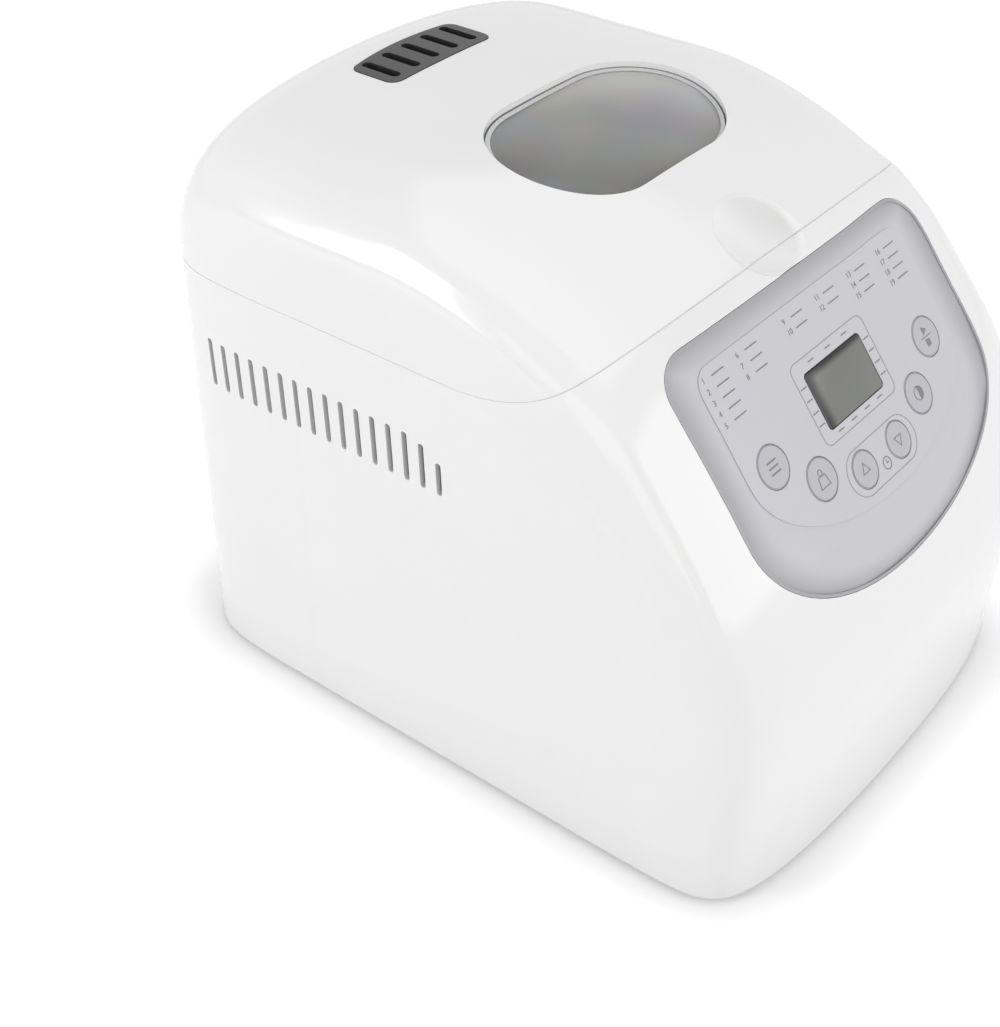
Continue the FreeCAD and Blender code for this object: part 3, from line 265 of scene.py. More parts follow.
def mouldGroup():
    # moulded plastic: a slow drift of tone and a fine pebble in the surface
    wanted = {"Drift Scale": "NodeSocketFloat", "Pebble Scale": "NodeSocketFloat"}
    group, given, result = newGroup("mouldedSurface", wanted, ["Drift", "Pebble"])
    place = objectPlace(group)
    link(group, noise(group, place, given["Drift Scale"], grain["softDetail"])["Fac"], result["Drift"])
    link(group, noise(group, place, given["Pebble Scale"], grain["softDetail"])["Fac"], result["Pebble"])
    return group


def brushGroup():
    # rolled or drawn metal: long fine lines along one axis, with duller patches
    wanted = {"Stretch": "NodeSocketVector"}
    group, given, result = newGroup("brushedLines", wanted, ["Lines", "Patches"])
    place = objectPlace(group)
    scaled = group.nodes.new("ShaderNodeVectorMath")
    scaled.operation = "MULTIPLY"
    link(group, place, scaled.inputs[0])
    link(group, given["Stretch"], scaled.inputs[1])
    link(group, noise(group, scaled.outputs["Vector"], 1.0)["Fac"], result["Lines"])
    link(group, noise(group, place, grain["patchScale"], grain["patchDetail"])["Fac"], result["Patches"])
    return group


def speckGroup():
    # small specks of another tone, as in coatings and rubber
    wanted = {"Scale": "NodeSocketFloat", "Amount": "NodeSocketFloat"}
    group, given, result = newGroup("fineSpecks", wanted, ["Specks", "Height"])
    height = noise(group, objectPlace(group), given["Scale"], grain["softDetail"], grain["speckRough"])["Fac"]
    link(group, calc(group, "GREATER_THAN", height, given["Amount"]), result["Specks"])
    link(group, height, result["Height"])
    return group


moulded = mouldGroup()
brushed = brushGroup()
specked = speckGroup()


def newMaterial(name):
    material = bpy.data.materials.new(name)
    material.use_nodes = True
    tree = material.node_tree
    return material, tree, tree.nodes["Principled BSDF"]


def useGroup(tree, group, **values):
    node = tree.nodes.new("ShaderNodeGroup")
    node.node_tree = group
    for label, value in values.items():
        node.inputs[label.replace("_", " ")].default_value = value
    return node.outputs


def dressShader(tree, shader, colour, gloss):
    link(tree, colour, shader.inputs["Base Color"])
    link(tree, gloss, shader.inputs["Roughness"])


# one function for each kind of surface
surfaceLook = dict(drift=14.0, pebbleDepth=0.2 * mm, lineDepth=0.1 * mm, lineSpread=(0.25, 0.75),
                   lineStrength=0.15, speckStrength=0.2, coatRough=0.06, clearIor=1.46)


def plasticMaterial(name, low, high, rough, pebble, strength, coat=0.0, drift=surfaceLook["drift"]):
    material, tree, shader = newMaterial(name)
    surface = useGroup(tree, moulded, Drift_Scale=drift, Pebble_Scale=pebble)
    gloss = mapRange(tree, surface["Drift"], *rough)
    dressShader(tree, shader, tint(tree, surface["Drift"], low, high), gloss)
    bumpFrom(tree, shader, surface["Pebble"], strength, surfaceLook["pebbleDepth"])
    shader.inputs["Coat Weight"].default_value = coat
    shader.inputs["Coat Roughness"].default_value = surfaceLook["coatRough"]
    return material


def metalMaterial(name, low, high, rough, stretch):
    material, tree, shader = newMaterial(name)
    surface = useGroup(tree, brushed, Stretch=stretch)
    gloss = mapRange(tree, surface["Lines"], *rough, *surfaceLook["lineSpread"])
    dressShader(tree, shader, tint(tree, surface["Patches"], low, high), gloss)
    bumpFrom(tree, shader, surface["Lines"], surfaceLook["lineStrength"], surfaceLook["lineDepth"])
    shader.inputs["Metallic"].default_value = 1.0
    return material


def coatedMaterial(name, low, high, rough, scale, amount, metallic=0.0):
    material, tree, shader = newMaterial(name)
    surface = useGroup(tree, specked, Scale=scale, Amount=amount)
    gloss = mapRange(tree, surface["Height"], *rough)
    dressShader(tree, shader, tint(tree, surface["Specks"], low, high), gloss)
    bumpFrom(tree, shader, surface["Height"], surfaceLook["speckStrength"], surfaceLook["pebbleDepth"])
    shader.inputs["Metallic"].default_value = metallic
    return material


def clearMaterial(name, low, high, rough, pebble, drift):
    material, tree, shader = newMaterial(name)
    surface = useGroup(tree, moulded, Drift_Scale=drift, Pebble_Scale=pebble)
    gloss = mapRange(tree, surface["Pebble"], *rough)
    dressShader(tree, shader, tint(tree, surface["Drift"], low, high), gloss)
    return material, shader


def glassMaterial(transmission, **look):
    material, shader = clearMaterial(**look)
    shader.inputs["Transmission Weight"].default_value = transmission
    shader.inputs["IOR"].default_value = surfaceLook["clearIor"]
    return material


def lensMaterial(alpha, **look):
    # a thin clear cover: mostly see-through, with a faint film of its own
    material, shader = clearMaterial(**look)
    shader.inputs["Alpha"].default_value = alpha
    return material


# painted shade: the panel's border is painted darker towards its outer edge, as the shade on the dish's wall
panelShade = dict(half=95.0 * mm, top=52.8 * mm, ovalU=-26.0 * mm, ovalDrop=56.0 * mm, reach=75.0 * mm,
                  band=14.0 * mm, edge=0.70)


def panelMaterial(name, low, high, rough, pebble, strength):
    material, tree, shader = newMaterial(name)
    surface = useGroup(tree, moulded, Drift_Scale=surfaceLook["drift"], Pebble_Scale=pebble)
    x, u = slopePlace(tree)
    below = calc(tree, "MAXIMUM", calc(tree, "SUBTRACT", panelShade["ovalU"], u), 0.0)
    across = calc(tree, "POWER", calc(tree, "DIVIDE", calc(tree, "ABSOLUTE", x), panelShade["half"]), 2.0)
    down = calc(tree, "POWER", calc(tree, "DIVIDE", below, panelShade["ovalDrop"]), 2.0)
    ring = calc(tree, "SQRT", calc(tree, "ADD", across, down))
    inwards = calc(tree, "MULTIPLY", calc(tree, "SUBTRACT", 1.0, ring), panelShade["reach"])
    fromTop = calc(tree, "SUBTRACT", panelShade["top"], u)
    inside = smoothRange(tree, calc(tree, "MINIMUM", inwards, fromTop), 0.0, panelShade["band"])
    # painted shade colour for the border's outer edge
    edgePaintedShade = tuple(value * panelShade["edge"] for value in low)
    plain = tint(tree, surface["Drift"], low, high)
    dressShader(tree, shader, tint(tree, inside, edgePaintedShade, plain), mapRange(tree, surface["Drift"], *rough))
    bumpFrom(tree, shader, surface["Pebble"], strength, surfaceLook["pebbleDepth"])
    return material


# painted shade: the screen's face is painted darker on the left and above, as the shade of its opening
screenShade = dict(left=(-20.0 * mm, -13.5 * mm), top=(-12.2 * mm, -8.5 * mm), dark=(0.006, 0.006, 0.007))


def screenMaterial(name, low, high, rough, pebble, drift):
    material, tree, shader = newMaterial(name)
    surface = useGroup(tree, moulded, Drift_Scale=drift, Pebble_Scale=pebble)
    x, u = slopePlace(tree)
    fromLeft = smoothRange(tree, x, *screenShade["left"])
    fromTop = smoothRange(tree, calc(tree, "MULTIPLY", u, -1.0), *screenShade["top"])
    lit = calc(tree, "MULTIPLY", fromLeft, fromTop)
    plain = tint(tree, surface["Drift"], low, high)
    # painted shade of the opening on the screen's left and top
    shaded = tint(tree, lit, screenShade["dark"], plain)
    dressShader(tree, shader, shaded, mapRange(tree, surface["Pebble"], *rough))
    return material


# pane with a painted reflection: darker at the near left, paler at the far right, with a thin film's faint
# colours
paneReflectionAndFilm = dict(middleY=-10.2 * mm, lean=1.247, span=85.0 * mm, filmScale=28.0, filmDetail=1.0,
                filmShare=0.14)


def paneMaterial(name, near, middle, far, rough, transmission):
    material, tree, shader = newMaterial(name)
    place = objectPlace(tree)
    parts = splitPlace(tree, place)
    leaned = calc(tree, "MULTIPLY_ADD", parts["X"], paneReflectionAndFilm["lean"], parts["Y"])
    nearHalf = smoothRange(tree, leaned, paneReflectionAndFilm["middleY"] - paneReflectionAndFilm["span"], paneReflectionAndFilm["middleY"])
    farHalf = smoothRange(tree, leaned, paneReflectionAndFilm["middleY"], paneReflectionAndFilm["middleY"] + paneReflectionAndFilm["span"])
    # painted reflection: darker near, paler far across the pane
    base = tint(tree, farHalf, tint(tree, nearHalf, near, middle), far)
    film = noise(tree, place, paneReflectionAndFilm["filmScale"], paneReflectionAndFilm["filmDetail"])
    colour = tint(tree, paneReflectionAndFilm["filmShare"], base, film["Color"])
    dressShader(tree, shader, colour, mapRange(tree, film["Fac"], *rough))
    shader.inputs["Transmission Weight"].default_value = transmission
    shader.inputs["IOR"].default_value = surfaceLook["clearIor"]
    return material


# the finger scoop is duller than the skin round it, with painted shade under its far edge
scoopShade = dict(place=(0.0, -87.6 * mm, 253.2 * mm), rim=(18.6 * mm, 22.2 * mm), lean=(0.88, 0.47),
                  shade=(-2.0 * mm, 18.0 * mm), dark=0.87, rough=0.55)


def shellMaterial(name, low, high, rough, pebble, strength, coat):
    material, tree, shader = newMaterial(name)
    surface = useGroup(tree, moulded, Drift_Scale=surfaceLook["drift"], Pebble_Scale=pebble)
    place = movedPlace(tree, scoopShade["place"])
    reach = tree.nodes.new("ShaderNodeVectorMath")
    reach.operation = "LENGTH"
    link(tree, place, reach.inputs[0])
    outside = smoothRange(tree, reach.outputs["Value"], *scoopShade["rim"])
    inside = calc(tree, "SUBTRACT", 1.0, outside)
    parts = splitPlace(tree, place)
    across = calc(tree, "MULTIPLY", parts["X"], scoopShade["lean"][0])
    far = calc(tree, "MULTIPLY_ADD", parts["Y"], scoopShade["lean"][1], across)
    # painted shade under the scoop's far edge
    shaded = calc(tree, "MULTIPLY", inside, smoothRange(tree, far, *scoopShade["shade"]))
    scoopPaintedShade = tuple(value * scoopShade["dark"] for value in low)
    plain = tint(tree, surface["Drift"], low, high)
    gloss = mapRange(tree, surface["Drift"], *rough)
    duller = calc(tree, "MULTIPLY", inside, scoopShade["rough"])
    dressShader(tree, shader, tint(tree, shaded, plain, scoopPaintedShade), calc(tree, "MAXIMUM", gloss, duller))
    bumpFrom(tree, shader, surface["Pebble"], strength, surfaceLook["pebbleDepth"])
    link(tree, mapRange(tree, inside, coat, 0.0), shader.inputs["Coat Weight"])
    shader.inputs["Coat Roughness"].default_value = surfaceLook["coatRough"]
    return material


whiteLook = dict(low=(0.83, 0.83, 0.825), high=(0.86, 0.86, 0.86), rough=(0.13, 0.19), pebble=700.0,
                 strength=0.02, coat=0.35)
plastics = dict(
    white=dict(name="whiteGloss", **whiteLook),
    film=dict(name="filmLilac", low=(0.565, 0.560, 0.597), high=(0.585, 0.580, 0.617), rough=(0.30, 0.38),
              pebble=2200.0, strength=0.05),
    keyFace=dict(name="keyLilac", low=(0.488, 0.483, 0.518), high=(0.505, 0.500, 0.535), rough=(0.32, 0.40),
                 pebble=2000.0, strength=0.06),
    ink=dict(name="inkGrey", low=(0.19, 0.19, 0.20), high=(0.25, 0.25, 0.26), rough=(0.45, 0.55),
             pebble=2500.0, strength=0.04),
    inkPale=dict(name="inkPale", low=(0.30, 0.30, 0.31), high=(0.35, 0.35, 0.36), rough=(0.45, 0.55),
                 pebble=2500.0, strength=0.04),
    vent=dict(name="ventGrey", low=(0.026, 0.026, 0.027), high=(0.036, 0.036, 0.038), rough=(0.34, 0.46),
              pebble=1600.0, strength=0.15),
    blackPart=dict(name="blackMoulded", low=(0.018, 0.018, 0.020), high=(0.035, 0.035, 0.037),
                   rough=(0.40, 0.55), pebble=1500.0, strength=0.15),
    deck=dict(name="deckIvory", low=(0.66, 0.66, 0.645), high=(0.71, 0.71, 0.70), rough=(0.34, 0.44),
              pebble=1100.0, strength=0.10),
    board=dict(name="boardGreen", low=(0.015, 0.085, 0.040), high=(0.030, 0.120, 0.055), rough=(0.30, 0.45),
               pebble=600.0, strength=0.2, coat=0.2, drift=60.0),
    motor=dict(name="motorEnamel", low=(0.10, 0.105, 0.115), high=(0.14, 0.145, 0.155), rough=(0.30, 0.42),
               pebble=800.0, strength=0.15),
    lcd=dict(name="lcdOlive", low=(0.33, 0.345, 0.29), high=(0.37, 0.385, 0.33), rough=(0.25, 0.35),
             pebble=3000.0, strength=0.03, drift=40.0),
)
metals = dict(
    steel=dict(name="rolledSteel", low=(0.52, 0.52, 0.53), high=(0.62, 0.62, 0.62), rough=(0.26, 0.40),
               stretch=(5.0, 600.0, 600.0)),
    turned=dict(name="turnedSteel", low=(0.50, 0.50, 0.51), high=(0.60, 0.60, 0.60), rough=(0.20, 0.34),
                stretch=(500.0, 500.0, 20.0)),
    liner=dict(name="linerAluminium", low=(0.66, 0.66, 0.66), high=(0.74, 0.74, 0.74), rough=(0.28, 0.42),
               stretch=(8.0, 500.0, 500.0)),
    brass=dict(name="bearingBrass", low=(0.55, 0.40, 0.18), high=(0.66, 0.50, 0.24), rough=(0.26, 0.40),
               stretch=(500.0, 500.0, 30.0)),
    heater=dict(name="heaterSheath", low=(0.18, 0.165, 0.15), high=(0.27, 0.25, 0.235), rough=(0.40, 0.60),
                stretch=(300.0, 300.0, 300.0)),
)
coatings = dict(
    coating=dict(name="panCoating", low=(0.035, 0.035, 0.038), high=(0.11, 0.11, 0.115), rough=(0.34, 0.48),
                 scale=2200.0, amount=0.66, metallic=0.2),
    rubber=dict(name="footRubber", low=(0.020, 0.020, 0.021), high=(0.045, 0.045, 0.046), rough=(0.70, 0.85),
                scale=1800.0, amount=0.60),
    silicone=dict(name="siliconeSeal", low=(0.30, 0.30, 0.31), high=(0.36, 0.36, 0.37), rough=(0.50, 0.62),
                  scale=1500.0, amount=0.60),
)
finishes = dict(
    shell=shellMaterial("shellGloss", **whiteLook),
    panel=panelMaterial("panelLilac", low=(0.555, 0.550, 0.585), high=(0.580, 0.575, 0.610),
                        rough=(0.36, 0.44), pebble=1400.0, strength=0.06),
    windowGlass=paneMaterial("windowPaintedReflection", near=(0.145, 0.145, 0.15), middle=(0.30, 0.30, 0.297),
                             far=(0.58, 0.59, 0.565), rough=(0.08, 0.14), transmission=0.20),
    screenFace=screenMaterial("screenFace", low=(0.165, 0.172, 0.150), high=(0.185, 0.190, 0.172),
                              rough=(0.16, 0.24), pebble=2500.0, drift=45.0),
    rimClear=glassMaterial(name="rimClear", low=(0.66, 0.66, 0.67), high=(0.74, 0.74, 0.75),
                           rough=(0.06, 0.12), pebble=500.0, drift=25.0, transmission=0.15),
    lensGlass=lensMaterial(name="lensClear", low=(0.05, 0.055, 0.045), high=(0.08, 0.085, 0.07),
                           rough=(0.05, 0.09), pebble=900.0, drift=30.0, alpha=0.30),
)
for make, looks in ((plasticMaterial, plastics), (metalMaterial, metals), (coatedMaterial, coatings)):
    for finishName, look in looks.items():
        finishes[finishName] = make(**look)
print("finishes made:", len(finishes))

nodesByFinish = dict(
    shell=("body_shell", "lid_shell"),
    white=("lid_hinge_leaves", "hinge_brackets"),
    windowGlass=("lid_window",),
    vent=("vent_grille",),
    panel=("control_panel",),
    film=("keypad_overlay",),
    keyFace=("menu_key", "weight_key", "time_up_key", "time_down_key", "colour_key", "start_stop_key"),
    lensGlass=("screen_lens",),
    lcd=("screen_module",),
    board=("control_board", "power_board"),
    blackPart=("key_switches", "driven_pulley", "motor_pulley", "run_capacitor", "cord_inlet"),
    liner=("lid_liner",),
    deck=("chamber_deck", "base_plate"),
    steel=("oven_chamber", "heater_clips", "pan_seat", "motor_bracket", "chassis_frame", "thermal_fuse"),
    turned=("lid_liner_screws", "chamber_screws", "bracket_screws", "base_screws", "hinge_pins", "pan_handle",
            "pan_shaft", "drive_shaft", "motor_shaft", "temperature_sensor"),
    brass=("pan_bearing", "shaft_bearing"),
    heater=("heater_element",),
    coating=("bread_pan", "kneading_paddle"),
    rubber=("drive_belt", "rubber_feet"),
    motor=("motor",),
)
for finishName, nodeNames in nodesByFinish.items():
    for nodeName in nodeNames:
        setMaterial(nodes[nodeName], finishes[finishName])
print("CAD nodes dressed:", sum(len(names) for names in nodesByFinish.values()))

# flat printed marks: a shape drawn level, given a little height and laid on the slope
printing = dict(height=0.10 * mm, line=0.40 * mm, ring=0.30 * mm, ringSteps=96, strokeEnd=0.45, strokeSteps=4)


def plateFrom(width, height, corner=0.0, segments=8):
    clearSelection()
    bpy.ops.mesh.primitive_plane_add(size=1.0, location=(0, 0, 0))
    obj = bpy.context.object
    editAll(obj)
    bpy.ops.transform.resize(value=(width, height, 1))
    if corner > 0:
        bpy.ops.mesh.bevel(offset=corner, offset_type="OFFSET", affect="VERTICES", segments=segments)
    leaveEdit()
    return obj


def discFrom(radius, corners=roundSteps, turn=0.0):
    clearSelection()
    bpy.ops.mesh.primitive_circle_add(vertices=corners, radius=radius, fill_type="NGON", location=(0, 0, 0))
    obj = bpy.context.object
    if turn:
        obj.rotation_euler = (0, 0, turn)
        settle(obj)
    return obj


def hollowOut(obj, width):
    editAll(obj)
    bpy.ops.mesh.inset(thickness=width)
    bpy.ops.mesh.delete(type="FACE")
    leaveEdit()
    return obj


def liftMark(obj, height=printing["height"]):
    editAll(obj)
    pushOut(height)
    turnNormalsOut()
    leaveEdit()
    return obj


def layMark(obj, x, u, face=overlayFace):
    return settle(obj, slopeMatrix @ Matrix.Translation((x, u, face)))


def strokeMark(length, width, x=0.0, y=0.0, turn=0.0):
    obj = plateFrom(length, width, width * printing["strokeEnd"], printing["strokeSteps"])
    obj.matrix_world = Matrix.Translation((x, y, 0)) @ Matrix.Rotation(turn, 4, "Z")
    return settle(obj)


def shiftUp(obj, y):
    return settle(obj, Matrix.Translation((0, y, 0)))


# keys: the ring round each face and its sign, riding on the key
keySigns = dict(ringGap=0.25 * mm, barLength=6.4 * mm, barWidth=0.75 * mm, barPitch=2.5 * mm,
                weightFoot=7.2 * mm, weightTop=4.8 * mm, weightHeight=5.2 * mm, weightUp=-1.2 * mm,
                eyeRadius=1.5 * mm, eyeSink=1.4 * mm, arrowRadius=3.4 * mm, arrowCorners=3,
                shadeRadius=3.3 * mm, playRadius=2.3 * mm, playUp=2.9 * mm, ruleLength=8.0 * mm,
                stopSide=3.2 * mm, stopCorner=0.3 * mm, stopSteps=3)


def barsSign():
    return [strokeMark(keySigns["barLength"], keySigns["barWidth"], 0, row * keySigns["barPitch"])
            for row in (-1, 0, 1)]


def weightSign():
    block = plateFrom(keySigns["weightFoot"], keySigns["weightHeight"])
    pickCorners(block, lambda place: place.y > 0)
    bpy.ops.transform.resize(value=(keySigns["weightTop"] / keySigns["weightFoot"], 1, 1))
    leaveEdit()
    hollowOut(block, printing["line"])
    shiftUp(block, keySigns["weightUp"])
    eye = hollowOut(discFrom(keySigns["eyeRadius"]), printing["line"])
    shiftUp(eye, keySigns["weightHeight"] / 2 + keySigns["eyeRadius"] - keySigns["eyeSink"])
    return [block, eye]


def triangleSign(turn):
    return [hollowOut(discFrom(keySigns["arrowRadius"], keySigns["arrowCorners"], turn), printing["line"])]


def upSign():
    return triangleSign(0.0)


def downSign():
    return triangleSign(math.pi)


def shadeSign():
    ring = hollowOut(discFrom(keySigns["shadeRadius"]), printing["line"])
    half = discFrom(keySigns["shadeRadius"] - printing["line"] / 2)
    editAll(half)
    bpy.ops.mesh.bisect(plane_co=(0, 0, 0), plane_no=(1, 0, 0), clear_inner=True)
    leaveEdit()
    return [ring, half]


def startSign():
    play = discFrom(keySigns["playRadius"], keySigns["arrowCorners"], -math.pi / 2)
    shiftUp(play, keySigns["playUp"])
    rule = strokeMark(keySigns["ruleLength"], printing["line"])
    side = keySigns["stopSide"]
    stop = plateFrom(side, side, keySigns["stopCorner"], keySigns["stopSteps"])
    return [play, rule, shiftUp(stop, -keySigns["playUp"])]


keyLayout = dict(
    menu_key=dict(x=-61.5, u=-8.5, radius=9.3, sign=barsSign),
    weight_key=dict(x=-39.5, u=-26.0, radius=9.3, sign=weightSign),
    time_up_key=dict(x=-13.7, u=-35.5, radius=8.3, sign=upSign),
    time_down_key=dict(x=13.7, u=-35.5, radius=8.3, sign=downSign),
    colour_key=dict(x=39.5, u=-26.0, radius=9.3, sign=shadeSign),
    start_stop_key=dict(x=61.5, u=-8.5, radius=9.3, sign=startSign),
)
for keyName, key in keyLayout.items():
    face = discFrom(key["radius"] * mm - keySigns["ringGap"], printing["ringSteps"])
    ring = hollowOut(face, printing["ring"])
    keyPrint = joinPieces([liftMark(mark) for mark in [ring] + key["sign"]()])
    layMark(keyPrint, key["x"] * mm, key["u"] * mm, slopeTop(keyName))
    finishPiece(keyPrint, keyName + "_print", "ink", keyName + "_cap")
print("key prints made:", len(keyLayout))

# print on the film: screen frame, time pill with its clock, index dashes
frameLine = dict(width=56.0, height=37.8, corner=4.2, u=0.6)
pillLine = dict(width=52.0, height=21.0, corner=10.3, u=-36.0)
lineSteps = 12
clock = dict(x=0.6, u=-40.0, radius=2.9, line=0.5, handWidth=0.45, longHand=1.9, longUp=0.75, shortHand=1.4,
             shortAside=0.55)
dashes = dict(length=4.2, width=0.55, topU=16.3, topX=(-13.0, 0.0, 13.0), lowU=-15.4,
              lowX=(-15.5, -5.2, 5.2, 15.5), sideX=24.7, sideU=(8.6, 2.9, -2.8, -8.5))


def filmLine(width, height, corner, u):
    outline = hollowOut(plateFrom(width * mm, height * mm, corner * mm, lineSteps), printing["line"])
    return layMark(liftMark(outline), 0, u * mm)


def clockMarks():
    ring = hollowOut(discFrom(clock["radius"] * mm), clock["line"] * mm)
    long = strokeMark(clock["longHand"] * mm, clock["handWidth"] * mm, 0, clock["longUp"] * mm, math.pi / 2)
    short = strokeMark(clock["shortHand"] * mm, clock["handWidth"] * mm, clock["shortAside"] * mm)
    marks = joinPieces([liftMark(mark) for mark in (ring, long, short)])
    return layMark(marks, clock["x"] * mm, clock["u"] * mm)


def dashMark(length, x, u):
    return layMark(liftMark(strokeMark(length * mm, dashes["width"] * mm)), x * mm, u * mm)


outlines = joinPieces([filmLine(**frameLine), filmLine(**pillLine)])
finishPiece(outlines, "film_outlines", "inkPale", "housing")
dashPlaces = [(x, dashes["topU"]) for x in dashes["topX"]] + [(x, dashes["lowU"]) for x in dashes["lowX"]]
dashPlaces += [(side * dashes["sideX"], u) for side in (-1, 1) for u in dashes["sideU"]]
filmMarks = joinPieces([clockMarks()] + [dashMark(dashes["length"], x, u) for x, u in dashPlaces])
finishPiece(filmMarks, "film_print", "ink", "housing")

# programme numbers stand in short columns over the screen, each with a plain line behind it
numberColumns = dict(size=3.6, pitch=5.0, curveSteps=4, lineLength=8.5, lineAside=10.5, lineDown=0.1)
numberColumns["columns"] = (
    dict(x=-75.0, top=36.8, first=1, count=5), dict(x=-51.5, top=36.8, first=6, count=3),
    dict(x=-18.1, top=35.9, first=9, count=2), dict(x=6.5, top=35.6, first=11, count=2),
    dict(x=31.5, top=35.0, first=13, count=3), dict(x=56.0, top=35.1, first=16, count=4))


def numberMark(value):
    clearSelection()
    bpy.ops.object.text_add(location=(0, 0, 0))
    obj = bpy.context.object
    obj.data.body = str(value)
    obj.data.size = numberColumns["size"] * mm
    obj.data.align_x = "LEFT"
    obj.data.align_y = "CENTER"
    obj.data.extrude = printing["height"] / 2
    obj.data.resolution_u = numberColumns["curveSteps"]
    bpy.ops.object.convert(target="MESH")
    return bpy.context.object


numbers = []
for column in numberColumns["columns"]:
    for row in range(column["count"]):
        number = numberMark(column["first"] + row)
        u = column["top"] - numberColumns["pitch"] * row
        numbers.append(layMark(number, column["x"] * mm, u * mm, overlayFace + printing["height"] / 2))
        lineX = column["x"] + numberColumns["lineAside"]
        numbers.append(dashMark(numberColumns["lineLength"], lineX, u - numberColumns["lineDown"]))
finishPiece(joinPieces(numbers), "programme_numbers", "ink", "housing")
print("film prints made")


# outlines that follow a CAD face: a rounded frame is laid on the face as a ring of edges
ringMake = dict(cornerSteps=20, cuts=3, sectionSteps=4)


def ringOn(target, halfX, halfY, corner, midY, startZ, upward, rise):
    # the frame starts at startZ and is dropped or raised on to the target
    ring = plateFrom(2 * halfX, 2 * halfY, corner, ringMake["cornerSteps"])
    settle(ring, Matrix.Translation((0, midY, startZ)))
    editAll(ring)
    bpy.ops.mesh.delete(type="ONLY_FACE")
    bpy.ops.mesh.select_mode(type="EDGE")
    bpy.ops.mesh.select_all(action="SELECT")
    bpy.ops.mesh.subdivide(number_cuts=ringMake["cuts"])
    leaveEdit()
    applyModifier(ring, "SHRINKWRAP", "lay", target=target, wrap_method="PROJECT", use_project_z=True,
                  use_negative_direction=not upward, use_positive_direction=upward)
    return settle(ring, Matrix.Translation((0, 0, rise)))


def roundSection(ring, radius):
    activate(ring)
    bpy.ops.object.convert(target="CURVE")
    loop = bpy.context.object
    loop.data.bevel_depth = radius
    loop.data.bevel_resolution = ringMake["sectionSteps"]
    bpy.ops.object.convert(target="MESH")
    loop = bpy.context.object
    editAll(loop)
    bpy.ops.mesh.remove_doubles(threshold=mergeFine)
    turnNormalsOut()
    leaveEdit()
    return loop


# clear lip round the sunk pane, at the foot of the opening's wall
windowRim = dict(halfX=61.5, halfY=37.75, midY=-10.2, startZ=350.0, endShare=0.998, gap=0.4, crest=0.35,
                 width=2.2, rise=1.1, foot=0.12, sheet=0.4)


def windowRing(inset, rise):
    halfX = (windowRim["halfX"] - inset) * mm
    halfY = (windowRim["halfY"] - inset) * mm
    return ringOn(nodes["lid_window"], halfX, halfY, halfY * windowRim["endShare"], windowRim["midY"] * mm,
                  windowRim["startZ"] * mm, False, rise * mm)


rimSlope = joinPieces([
    windowRing(windowRim["gap"], windowRim["rise"] - windowRim["crest"]),
    windowRing(windowRim["gap"] + windowRim["crest"], windowRim["rise"]),
    windowRing(windowRim["gap"] + windowRim["width"], windowRim["foot"])])
editAll(rimSlope, "EDGE")
bpy.ops.mesh.bridge_edge_loops()
turnNormalsOut()
leaveEdit()
applyModifier(rimSlope, "SOLIDIFY", "sheet", thickness=windowRim["sheet"] * mm, offset=-1.0)
finishPiece(rimSlope, "window_rim", "rimClear", "lid")

# soft seal round the liner's underside
lidSeal = dict(halfX=104.0, halfY=84.5, corner=26.0, midY=7.9, startZ=170.0, radius=2.1, drop=1.7)
sealRing = ringOn(nodes["lid_liner"], lidSeal["halfX"] * mm, lidSeal["halfY"] * mm, lidSeal["corner"] * mm,
                  lidSeal["midY"] * mm, lidSeal["startZ"] * mm, True, -lidSeal["drop"] * mm)
finishPiece(roundSection(sealRing, lidSeal["radius"] * mm), "lid_seal", "silicone", "lid")
print("window rim and lid seal made")

# strip under the lid's edge, that closes the seam: a copy of the edge's own face, set back and thickened
edgeStrip = dict(level=218.25 * mm, levelSlack=0.1 * mm, bendY=-23.0 * mm, axisZ=320.0 * mm,
                 radius=101.75 * mm, bendSlack=0.15 * mm, setBack=0.22 * mm, thick=0.38 * mm, offset=1.316)


def onLidEdge(centre, normal):
    if centre.y > edgeStrip["bendY"]:
        return normal.z < -facing and abs(centre.z - edgeStrip["level"]) < edgeStrip["levelSlack"]
    away = Vector((0, centre.y - edgeStrip["bendY"], centre.z - edgeStrip["axisZ"]))
    onBend = abs(away.length - edgeStrip["radius"]) < edgeStrip["bendSlack"]
    return onBend and normal.dot(away.normalized()) > facing


def keepSelected():
    bpy.ops.mesh.select_all(action="INVERT")
    bpy.ops.mesh.delete(type="FACE")


strip = bpy.data.objects.new("lid_edge_strip", nodes["lid_shell"].data.copy())
bpy.context.scene.collection.objects.link(strip)
pickFaces(strip, onLidEdge)
keepSelected()
bpy.ops.mesh.select_all(action="SELECT")
bpy.ops.mesh.remove_doubles(threshold=mergeCopied)
bpy.ops.mesh.inset(thickness=edgeStrip["setBack"])
keepSelected()
leaveEdit()
applyModifier(strip, "SOLIDIFY", "sheet", thickness=edgeStrip["thick"], offset=edgeStrip["offset"])
finishPiece(strip, "lid_edge_strip", "white", "lid")
print("lid edge strip made with", len(strip.data.polygons), "faces")


def facesUp(centre, normal):
    return normal.z > facing


# dark tray under the vent that turns the steam
steamTray = dict(width=63.0, depth=24.0, corner=5.0, y=97.6, top=280.4, deep=4.5, wall=1.4)
tray = plateFrom(steamTray["width"] * mm, steamTray["depth"] * mm, steamTray["corner"] * mm)
liftMark(tray, steamTray["deep"] * mm)
pickFaces(tray, facesUp)
bpy.ops.mesh.inset(thickness=steamTray["wall"] * mm)
pushOut((steamTray["wall"] - steamTray["deep"]) * mm)
leaveEdit()
settle(tray, Matrix.Translation((0, steamTray["y"] * mm, (steamTray["top"] - steamTray["deep"]) * mm)))
finishPiece(tray, "steam_tray", "blackPart", "lid")

